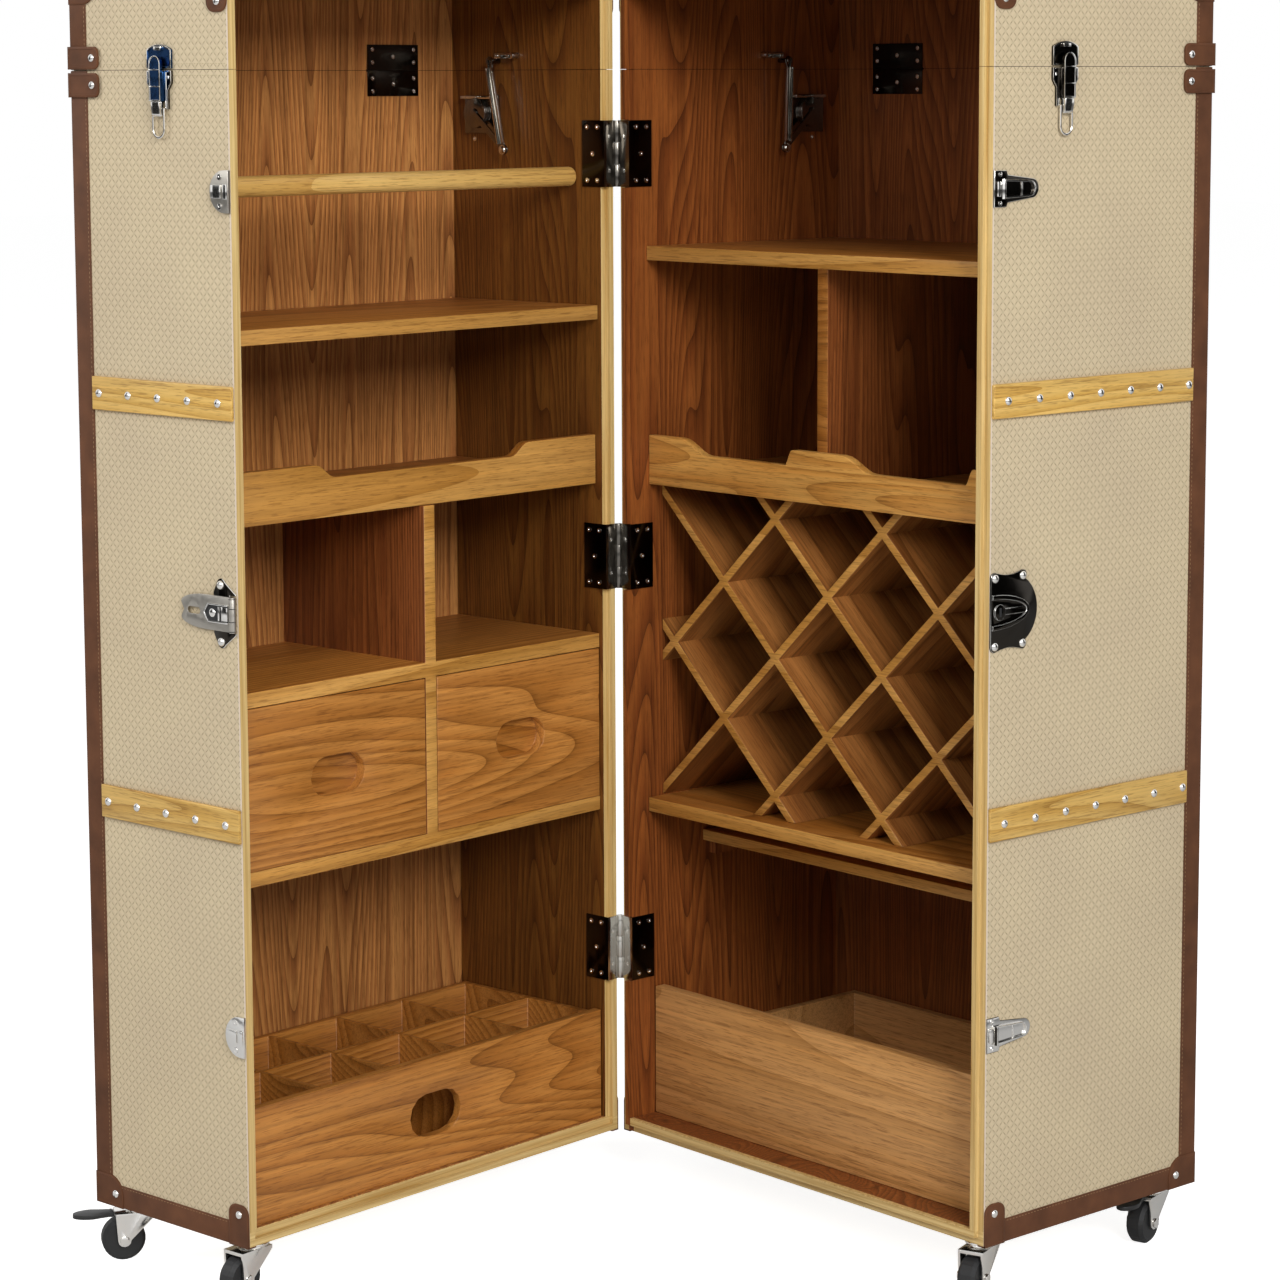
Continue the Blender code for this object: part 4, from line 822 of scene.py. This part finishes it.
def folded_strip(start, along, first, second, length, width, fold):
    """A strip on an edge: 'width' on the wall that faces 'first', 'fold' on the one that faces 'second'."""
    strip = block((0, length), (-width, HIDE), (0, HIDE))
    pick(strip)
    bpy.ops.mesh.bisect(plane_co=(0, 0, 0), plane_no=(0, 1, 0))
    done()
    pick(strip, lambda f: f.normal.z < -0.9 and f.center.y > 0)
    bpy.ops.mesh.extrude_region_move(TRANSFORM_OT_translate={"value": (0, 0, -fold)})
    done()
    eased(strip, 0.0006)
    strip.data.transform(Matrix.Translation(start) @ aimed(along, second, first))
    return strip


def stitches(start, along, out, length, pitch=0.0052, size=0.0032, thick=0.0004):
    """A row of stitches on a face: one flattened bead, repeated by an Array."""
    bpy.ops.mesh.primitive_uv_sphere_add(segments=6, ring_count=4, radius=0.5)
    bpy.context.object.scale = (size, thick * 1.9, thick * 1.6)
    bead = repeated(applied(), max(1, int((length - size) / pitch)), (pitch, 0, 0))
    turn = aimed(along, out.cross(along), out)
    bead.data.transform(Matrix.Translation(Vector(start) + along * size) @ turn)
    return bead


HIDE = 0.0016
UPRIGHT_TRIM = 0.027
LEVEL_TRIM = 0.026
LIP = 0.009
SEWN = 0.0025
UP, OUT, INTO = Vector((0, 0, 1)), Vector((1, 0, 0)), Vector((0, 1, 0))
for side, part, body, deep in BOXES:
    low, high, edge, down = 0.0, SEAM - 0.0006, 0.0, -UP
    if part == "lid":
        low, high, edge, down = SEAM + 0.0006, HEIGHT, HEIGHT, UP
    strips, sewing = [], []
    tall, long = high - low, deep - 0.001
    near, row = UPRIGHT_TRIM - SEWN, edge - down.z * (LEVEL_TRIM - SEWN)
    for wall, face in ((WIDTH, OUT), (0.0, -OUT)):
        strips.append(folded_strip((wall, deep, low), UP, face, INTO, tall, UPRIGHT_TRIM, UPRIGHT_TRIM))
        strips.append(folded_strip((wall, 0.001, edge), INTO, face, down, long, LEVEL_TRIM, LIP))
        sewing.append(stitches((wall + face.x * HIDE, deep - near, low), UP, face, tall))
        sewing.append(stitches((wall - face.x * near, deep + HIDE, low), UP, INTO, tall))
        sewing.append(stitches((wall + face.x * HIDE, 0.036, row), INTO, face, long - 0.064))
    strips.append(folded_strip((0.0, deep, edge), OUT, INTO, down, WIDTH, LEVEL_TRIM, LIP))
    sewing.append(stitches((0.03, deep + HIDE, row), OUT, INTO, WIDTH - 0.06))
    settle(strips, f"leather_strips_{side}_{part}", side, body, hide)
    settle(sewing, f"strip_stitches_{side}_{part}", side, body, thread)
print("leather strips sewn")

# %% [markdown]
# A dome nail or rivet is a sphere cut in half and flattened, and an Array repeats it along a slat. A screw
# is a low head whose top is inset, raised and sunk in the middle.

# %% Nails, rivets and screws


def facing(centre, out):
    """The move that sets a head made on the ground on a wall."""
    return Matrix.Translation(centre) @ Vector(out).to_track_quat("Z", "Y").to_matrix().to_4x4()


def dome(centre, radius, out, flat=0.62):
    """A dome-headed nail whose head points along 'out'."""
    bpy.ops.mesh.primitive_uv_sphere_add(segments=20, ring_count=12, radius=radius)
    head = bpy.context.object
    pick(head)
    bpy.ops.mesh.bisect(plane_co=(0, 0, 0), plane_no=(0, 0, 1), clear_inner=True, use_fill=True)
    done()
    head.scale = (1, 1, flat)
    applied().data.transform(facing(centre, out))
    return head


def screw(centre, radius, out, tilt=20):
    """A countersunk screw: a low cylinder with a round recess in its rounded head."""
    bpy.ops.mesh.primitive_cylinder_add(vertices=16, radius=radius, depth=0.0006, location=(0, 0, 0.0003))
    head = applied()
    pick(head, lambda f: f.normal.z > 0.9)
    for inward, rise in ((0.35, 0.0003), (0.3, 0.0), (0.12, -0.0006)):
        bpy.ops.mesh.inset(thickness=radius * inward, depth=rise)
    done()
    head.data.transform(facing(centre, out) @ Matrix.Rotation(math.radians(tilt), 4, "Z"))
    return head


SLAT = 0.039
SLAT_THICK = 0.005
SLAT_LEVELS = (0.977, 0.494)
FIRST_NAIL = 0.0235
NAIL_STEP = 0.052
NAILS = {"right": 7, "left": 5}
for side, deep in DEPTH.items():
    slats, nails = [], []
    for level in SLAT_LEVELS:
        tall = (level - SLAT / 2, level + SLAT / 2)
        slat = block((WIDTH + 0.0003, WIDTH + SLAT_THICK), (0.001, deep - 0.0275), tall)
        slats.append(eased(slat, 0.0013, 3))
        nail = dome((WIDTH + SLAT_THICK, FIRST_NAIL, level), 0.0052, OUT)
        nails.append(repeated(nail, NAILS[side], (0, NAIL_STEP, 0)))
    settle(slats, f"slats_{side}", side, f"{side}_half", ash[side])
    settle(nails, f"slat_nails_{side}", side, f"{side}_half", nickel_painted_light)
print("slats nailed on")

# %% [markdown]
# The corners are capped with heavier leather: round-ended tabs in front, slanted caps at the back, and
# short tabs where the lid meets the box. Each starts as a plate whose corners are rounded by a bevel of its
# edges. Insets leave the raised rim of the real ones.

# %% Leather caps and tabs


def cap_plate(u, v, z, round_test, radius, out_axis, sign):
    """A leather plate with some of its corners rounded and a raised edge."""
    plate = block(u, v, z)

    def corner(edge):
        a, b = (plate.data.vertices[i].co for i in edge.vertices)
        return abs((a - b)[out_axis]) > 1e-6 and round_test((a + b) / 2)

    pick(plate, corner, "EDGE")
    bpy.ops.mesh.bevel(offset=radius, segments=6)
    done()
    pick(plate, lambda f: f.normal[out_axis] * sign > 0.9)
    for inward, rise in ((0.0012, 0.0005), (0.0018, 0.0), (0.0004, -0.0005)):
        bpy.ops.mesh.inset(thickness=inward, depth=rise)
    done()
    return plate


CAP = 0.0022
THIN_TAB = 0.0012
FLAT = 0.3
ROUND = 0.62
SLANT = 0.024
for side, part, body, deep in BOXES:
    edge, sign = (0.0, 1) if part == "shell" else (HEIGHT, -1)
    tab = (SEAM - 0.031, SEAM - 0.003) if part == "shell" else (SEAM + 0.001, SEAM + 0.027)
    caps, rivets = [], []
    far, lip = edge + sign * 0.048, edge - sign * CAP
    tall, shallow, sole = sorted((lip, far)), sorted((lip, edge + sign * 0.036)), sorted((edge, lip))
    for wall, face in ((WIDTH, 1), (0.0, -1)):
        out = (face, 0, 0)
        head, flat = (0.005, ROUND) if face > 0 else (0.0046, FLAT)
        skin, bound = wall + face * CAP, wall + face * HIDE
        u = sorted((wall, skin))
        caps.append(cap_plate(u, (0.0005, 0.034), tall, lambda p: abs(p.z - far) < 1e-4, 0.012, 0, face))
        rivets.append(dome((skin, 0.016, edge + sign * 0.036), head, out, flat))
        caps.append(cap_plate(u, (deep - 0.047, deep + CAP), shallow,
                              lambda p: p.y < deep - 0.04 and abs(p.z - edge) > 0.02, SLANT, 0, face))
        rivets.append(dome((skin, deep - 0.034, edge + sign * 0.014), head, out, flat))
        caps.append(cap_plate(sorted((skin, wall - face * 0.047)), (deep, deep + CAP), shallow,
                              lambda p: abs(p.x - wall) > 0.04 and abs(p.z - edge) > 0.02, SLANT, 1, 1))
        rivets.append(dome((wall - face * 0.034, deep + CAP, edge + sign * 0.014), 0.005, INTO))
        under = sorted((skin, wall - face * 0.0095))
        caps.append(block(under, (0.0005, 0.034), sole))
        caps.append(block(under, (deep - 0.04, deep), sole))
        thick, head = (CAP, 0.0048) if face > 0 else (THIN_TAB, 0.004)
        top = bound + face * thick
        caps.append(cap_plate(sorted((bound, top)), (deep - 0.05, deep + HIDE + thick), tab,
                              lambda p: p.y < deep - 0.04, 0.008, 0, face))
        rivets.append(dome((top, deep - 0.039, sum(tab) / 2), head, out, flat))
        caps.append(cap_plate(sorted((bound, wall - face * 0.05)), (deep + HIDE, deep + HIDE + CAP), tab,
                              lambda p: abs(p.x - wall) > 0.04, 0.008, 1, 1))
    settle(caps, f"leather_caps_{side}_{part}", side, body, hide)
    settle(rivets, f"cap_rivets_{side}_{part}", side, body, nickel_painted_light)
print("caps and tabs riveted on")

# %% [markdown]
# A double row of stitches runs round the trunk above and below the seam, where the cloth is folded in.

# %% Seam stitches
FINE = (0.0045, 0.003, 0.0003)
for side, part, body, deep in BOXES:
    level = SEAM - 0.0065 if part == "shell" else SEAM + 0.0065
    rows = [
        stitches((WIDTH + PROUD, 0.004, level), INTO, OUT, deep - 0.056, *FINE),
        stitches((-PROUD, 0.004, level), INTO, -OUT, deep - 0.056, *FINE),
        stitches((0.05, deep + PROUD, level), OUT, INTO, WIDTH - 0.1, *FINE),
    ]
    settle(rows, f"seam_stitches_{side}_{part}", side, body, pale_thread)
print("seam stitched")

# %% [markdown]
# Hinge leaves and lid hinge plates are held by small cross-head screws.

# %% Hinge screws
HINGE_STARTS = (0.198, 0.70125, 1.2045)
LEAF_SCREWS = ((0.01, 0.008), (0.027, 0.008), (0.018, 0.041), (0.01, 0.074), (0.027, 0.074))
LID_SCREWS = ((0.008, 0.01), (0.08, 0.01), (0.044, 0.017), (0.008, 0.026), (0.08, 0.026))
for side, deep in DEPTH.items():
    heads = []
    for start in HINGE_STARTS:
        for depth, rise in LEAF_SCREWS:
            heads.append(screw((WALL + 0.0016, depth, start + rise), 0.0032, OUT, rise * 900))
        for rise in (0.02, 0.062):
            heads.append(screw((0.0085, -0.00085, start + rise), 0.0032, -INTO, rise * 700))
    mirror = Matrix.Translation((WIDTH, 0, 0)) @ Matrix.Scale(-1, 4, (1, 0, 0))
    for level, sign, body in (("lower", -1, f"{side}_half"), ("upper", 1, f"{side}_lid")):
        pins = []
        for near in (0.08, WIDTH - 0.168):
            for across, rise in LID_SCREWS:
                spot = (near + across, deep - BACK - 0.0016, SEAM + sign * rise)
                pins.append(screw(spot, 0.0028, -INTO, across * 900))
        settle(pins, f"lid_hinge_screws_{side}_{level}", side, body, nickel_painted_light)
        other = free_copy(nodes[f"{side}_lid_hinge_{level}"])
        other.data.transform(PLACE[side] @ mirror @ PLACE[side].inverted())
        settle(other, f"second_lid_hinge_{side}_{level}", None, body, nickel)
    settle(heads, f"hinge_screws_{side}", side, f"{side}_half", nickel_painted_light)
print("hinges screwed on")

# %% [markdown]
# A dark strip lies in the seam under each lid. It stops light from showing through the gap, and its dark
# colour is painted shade along the seam.

# %% Dark strip in the seam
for side, deep in DEPTH.items():
    seam = (SEAM - 0.00028, SEAM + 0.00029)
    strips = [
        block((0.0012, WALL - 0.001), (0.009, deep - 0.011), seam),
        block((WIDTH - WALL + 0.001, WIDTH - 0.0012), (0.009, deep - 0.011), seam),
        block((0.0012, WIDTH - 0.0012), (deep - 0.008, deep - 0.001), seam),
    ]
    settle(strips, f"seam_shade_strip_{side}", side, f"{side}_lid", seam_shade_finish)
print("dark seam strips laid")

# %% [markdown]
# The lid latches are draw latches in three parts: an arched strike plate on the lid, a slotted base plate
# on the box, and a long lever that reaches from it over the strike. A wire bail hangs below. The plates are
# cut out of sheet and pressed: an inset whose middle is pushed in. Their faces are dark nickel, painted dark
# reflection, and their raised borders light nickel, painted highlight.

# %% Lid latches
PLATE = WIDTH + 0.0003


def pad(low, high, near, far, level, half, width=0.0004):
    """A bar on the outer wall: from low to high above it and from near to far along it."""
    return bar((PLATE + low, PLATE + high), (near, far), (level - half, level + half), width)


LATCH = 0.115
SHEET_METAL = 0.0032
CHEEK = ((0.0101, 0.0009), (0.021, 0.0009), (0.021, 0.015), (0.015, 0.023), (0.015, 0.044), (0.0101, 0.044))
FOOT = ((0.0008, 0.0353), (0.0103, 0.0353), (0.0089, 0.05), (0.006, 0.0528), (0.003, 0.052), (0.0008, 0.049))
LATCH_PIT = PLATE + 0.0028


def wire_bail(level, drop, radius, wire, reach):
    """A U of bent wire hanging on a wall: half a torus and two straight legs."""
    bpy.ops.mesh.primitive_torus_add(
        major_radius=radius, minor_radius=wire, major_segments=32, minor_segments=10,
        location=(reach, LATCH, level - drop), rotation=AIMS["u"]
    )
    loop = applied()
    pick(loop)
    bpy.ops.mesh.bisect(plane_co=(0, 0, level - drop), plane_no=(0, 0, 1), clear_outer=True, use_fill=True)
    done()
    legs = [disc((reach, LATCH + way * radius, level - drop / 2), wire, drop, "z", 10) for way in (-1, 1)]
    return joined([loop, *legs])


for side in DEPTH:
    half, tall, rise = 0.021, 0.027, 0.006
    top = SEAM + 0.0015
    radius = (half**2 + rise**2) / (2 * rise)
    turn = math.degrees(math.asin(half / radius))
    crown = bow((LATCH, top + tall - radius), radius, 90 - turn, 90 + turn)
    strike = cut_out([(LATCH - half, top), (LATCH + half, top), *crown], 0, PLATE, SHEET_METAL)
    pieces = [sunk(eased(strike, 0.0004), 0.0016, 0.0009)]
    pieces.append(pad(0.002, 0.0055, LATCH - 0.006, LATCH + 0.006, top + 0.0225, 0.002))
    # The dark copy on the faces is painted dark reflection.
    dark = nickel_painted_blue_black if side == "left" else nickel_painted_black
    cover = settle(pieces, f"strike_plate_{side}", side, f"{side}_lid", dark)
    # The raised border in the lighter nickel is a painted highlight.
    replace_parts(painted(cover, side, [(nickel_painted_light, lambda n, c: c.x > LATCH_PIT)]), f"{side}_lid_strike")
    cheeks = []
    for way in (-1, 1):
        cheek = cut_out([(LATCH + way * v, SEAM - z) for v, z in CHEEK], 0, PLATE, SHEET_METAL)
        cheeks.append(sunk(eased(cheek, 0.0004), 0.0014, 0.0008))
        cheeks.append(dome((PLATE + 0.0024, LATCH + way * 0.0155, SEAM - 0.0085), 0.0022, OUT))
    cheeks.append(wire_bail(SEAM - 0.043, 0.0235, 0.0095, 0.0015, WIDTH + 0.0046))
    base = settle(cheeks, f"lid_latch_base_{side}", side, f"{side}_half", nickel_painted_black)
    # The raised border and the bail's lower part in the lighter nickel are painted highlight.
    painted(base, side, [(nickel_painted_light, lambda n, c: c.x > LATCH_PIT or c.z < SEAM - 0.045)])
    low, high = SEAM - 0.035, SEAM + 0.016
    head = [(LATCH - 0.0095, low), (LATCH + 0.0095, low), *bow((LATCH, high - 0.0095), 0.0095, 0, 180, 16)]
    handle = sunk(eased(cut_out(head, 0, PLATE + 0.0058, 0.0045), 0.0005), 0.0011, 0.0005)
    foot = [(PLATE + u, SEAM - z) for u, z in FOOT]
    heel = eased(cut_out(foot, 1, LATCH - 0.0074, 0.0148), 0.001, 3)
    settle(heel, f"latch_foot_{side}", side, f"{side}_lid_lever", nickel_painted_light)
    neck = bar((PLATE + 0.0006, PLATE + 0.0062), (LATCH - 0.009, LATCH + 0.009), (low, SEAM - 0.001))
    pieces = [handle, neck]
    for level in (SEAM, SEAM - 0.0187, low + 0.0006):
        pieces.append(pad(0.0095, 0.0106, LATCH - 0.0094, LATCH + 0.0094, level, 0.0006, 0.0003))
    lever = settle(pieces, f"latch_lever_{side}", side, f"{side}_lid_lever", dark)
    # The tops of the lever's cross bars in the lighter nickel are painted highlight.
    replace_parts(painted(lever, side, [(nickel_painted_light, lambda n, c: c.x > PLATE + 0.0099)]), f"{side}_lid_lever")
print("lid latches made")

# %% [markdown]
# Each draw latch on the right half hooks on a D-shaped catch on the left half. Its lever is a channel, so
# it gets two rails that join round its end. The catch has two screws and a raised middle.

# %% Draw latches and catches
CHANNEL = [
    (0.01, 0.0109), *reversed(bow((0.0543, 0), 0.0089, -90, 90, 14)), (0.01, -0.0109),
    (0.01, -0.009), *bow((0.0543, 0), 0.007, -90, 90, 14), (0.01, 0.009),
]
for name, level in (("top", SEAM - 0.135), ("bottom", 0.2485)):
    heads = [screw((PLATE + 0.002, 0.0095, level + way * 0.0162), 0.003, OUT, way * 30) for way in (-1, 1)]
    heads.append(pad(0.0023, 0.0058, 0.003, 0.0082, level, 0.0085, 0.0008))
    settle(heads, f"{name}_latch_screws", "right", "right_half", nickel_painted_light)
    rail = cut_out([(v, level + z) for v, z in CHANNEL], 0, PLATE + 0.0045, 0.0029)
    pieces = [eased(rail, 0.0004), pad(0.0045, 0.0062, 0.04, 0.0424, level, 0.0088)]
    settle(pieces, f"{name}_latch_channel", "right", f"right_{name}_latch_lever", nickel_painted_light)
    pieces = [screw((PLATE + 0.004, 0.0145, level + way * 0.0165), 0.0036, OUT, way * 25) for way in (-1, 1)]
    pieces.append(pad(0.0038, 0.0052, 0.0115, 0.0285, level, 0.0075, 0.0006))
    pieces.append(pad(0.0038, 0.0062, 0.0008, 0.0075, level, 0.0085, 0.0008))
    settle(pieces, f"{name}_catch_screws", "left", "left_half", nickel_painted_light)
print("draw latches and catches made")

# %% [markdown]
# The lock plate is riveted at its four ears. The hasp's tongue carries a raised frame round the stud of its
# turn lock, its base is bolted above and below, and dark rings part the knuckles of its barrel. These rings
# and a black sheet in the frame's window are painted shade.

# %% Lock plate and hasp
LOCK = SEAM - 0.611
ears = [(v, LOCK + z) for v in (0.0074, 0.0534) for z in (-0.0388, 0.0388)]
rivets = [dome((PLATE + 0.0021, *ear), 0.0052, OUT) for ear in ears]
settle(rivets, "lock_plate_rivets", "right", "right_half", nickel_painted_light)
# A black pad stands for the keyhole: painted shade of the hole.
slot = pad(0.004, 0.0044, 0.0128, 0.0162, LOCK, 0.005, 0.0001)
settle(slot, "keyhole_painted_shade", "right", "right_half", rubber)
bolts = [dome((PLATE + 0.002, 0.027, LOCK + way * 0.0325), 0.0054, OUT, 0.8) for way in (-1, 1)]
settle(bolts, "hasp_bolts", "left", "left_half", nickel_painted_light)
TONGUE = 0.0043
outer = [(0.012, 0.011), (0.046, 0.011), (0.0545, 0), (0.046, -0.011), (0.012, -0.011)]
inner = [(0.012, -0.0092), (0.0452, -0.0092), (0.052, 0), (0.0452, 0.0092), (0.012, 0.0092)]
ring = cut_out([(v, LOCK + z) for v, z in outer + inner], 0, PLATE + TONGUE, 0.0018)
stud = dome((PLATE + TONGUE + 0.0004, 0.0395, LOCK), 0.0052, OUT, 0.35)
bars = [pad(TONGUE, TONGUE + 0.0012, 0.013, 0.0235, LOCK, 0.008, 0.0005),
        pad(TONGUE, TONGUE + 0.0016, 0.0262, 0.029, LOCK, 0.0085, 0.0005)]
settle([eased(ring, 0.0004), stud, *bars], "hasp_frame", "left", "hasp", nickel_painted_light)
# Painted shade: a black sheet in the frame's window and black rings between the knuckles.
bed = [(0.0125, -0.0091), (0.0452, -0.0091), (0.0519, 0), (0.0452, 0.0091), (0.0125, 0.0091)]
window_shade_sheet = cut_out([(v, LOCK + z) for v, z in bed], 0, PLATE + TONGUE - 0.0001, 0.0003)
gaps = (-0.0185, -0.0075, 0.0075, 0.0185)
knuckle_gap_shades = [disc((PLATE + 0.0042, 0.0055, LOCK + gap), 0.0042, 0.001, "z", 24) for gap in gaps]
settle([window_shade_sheet, *knuckle_gap_shades], "hasp_painted_shade", "left", "hasp", rubber)
print("lock and hasp made")

# %% [markdown]
# Each lid stay hangs on a small bracket with a knob inside the lid. A flange bar closes its housing, a
# rivet with a washer holds the elbow, and two rails stiffen the link.

# %% Stay brackets
DRUM_LEVEL = 1.295
STAYS = {"right": (0.256, 0.302, (0.2528, 1.2496)), "left": (0.18, 0.212, (0.1577, 1.2492))}
FLANGE = (DRUM_LEVEL + 0.0178, DRUM_LEVEL + 0.0215)
BRACKET = (SEAM + 0.0145, SEAM + 0.0215)
inside = WALL + 0.0003
for side, (hung, drum, elbow) in STAYS.items():
    pin, elbow = Vector((hung, SEAM + 0.011)), Vector(elbow)
    down = (elbow - pin).normalized()
    start, end = pin + down * 0.008, elbow - down * 0.008
    pieces = [dome((0.0347, *elbow), 0.005, OUT, 0.55), disc((0.035, *elbow), 0.0058, 0.0008)]
    for way in (-1, 1):
        near, far = (down.orthogonal() * way * width for width in (0.0037, 0.0052))
        rail = cut_out([start + near, end + near, end + far, start + far], 0, 0.0342, 0.004)
        pieces.append(eased(rail, 0.0004))
    settle(pieces, f"stay_rails_{side}", side, f"{side}_stay_link", nickel)
    bracket = bar((inside, inside + 0.003), (hung - 0.034, hung + 0.006), BRACKET, 0.0006)
    knob = eased(disc((inside + 0.0066, hung - 0.031, SEAM + 0.018), 0.0042, 0.011, "u"), 0.0009)
    pins = [screw((inside + 0.003, hung - 0.016 + shift, SEAM + 0.018), 0.0022, OUT) for shift in (0, 0.018)]
    settle([bracket, knob, *pins], f"stay_bracket_{side}", side, f"{side}_lid", nickel)
    flange = bar((inside + 0.003, WALL + 0.0125), (drum - 0.026, drum + 0.026), FLANGE, 0.0006)
    screw_low = screw((inside, drum + 0.012, DRUM_LEVEL - 0.033), 0.003, OUT)
    settle([flange, screw_low], f"stay_flange_{side}", side, f"{side}_half", nickel)
print("stay brackets made")

# %% [markdown]
# Each caster hangs from a square plate screwed under the trunk, with a round hole for its race. Bolts close
# the axle on both cheeks.

# %% Caster plates and axle bolts
SWIVELS = {
    "right_front": (0.411687, 0.19383, -71), "right_back": (0.411687, 0.49583, -76),
    "right_inner": (-0.146313, 0.49583, -80), "left_front": (-0.155181, -0.441292, -81),
    "left_back": (-0.355882, -0.464159, -116), "left_inner": (-0.41905, 0.090254, -95),
}


def stood(obj, x, y, turn):
    """Moves what was made at the origin to its place under the trunk."""
    obj.data.transform(Matrix.Translation((x, y, 0)) @ Matrix.Rotation(math.radians(turn), 4, "Z"))
    return obj


for name, (x, y, heading) in SWIVELS.items():
    side = name.split("_")[0]
    plate = block((-0.024, 0.024), (-0.024, 0.024), (0.07, 0.0719))
    hole = disc((0, 0, 0.071), 0.0168, 0.006, "z", 40)
    modify(plate, "BOOLEAN", operation="DIFFERENCE", object=hole, solver="EXACT")
    bpy.data.objects.remove(hole)
    eased(plate, 0.0004)
    heads = [dome((a * 0.0185, b * 0.0185, 0.0701), 0.003, (0, 0, -1), 0.5) for a in (-1, 1) for b in (-1, 1)]
    turn = 0 if side == "right" else -OPEN_ANGLE
    settle(stood(joined([plate, *heads]), x, y, turn), f"caster_plate_{name}", None, f"{side}_half", nickel_painted_black)
    bolts = [eased(disc((0.022, way * 0.0176, 0.026), 0.0062, 0.0032, "v", 6), 0.0004) for way in (-1, 1)]
    race = eased(disc((0, 0, 0.0628), 0.0195, 0.003, "z", 40), 0.0008)
    bolts = stood(joined([*bolts, race]), x, y, heading)
    settle(bolts, f"caster_bolts_{name}", None, f"caster_fork_{name}", nickel_painted_light)
print("caster plates and bolts made")
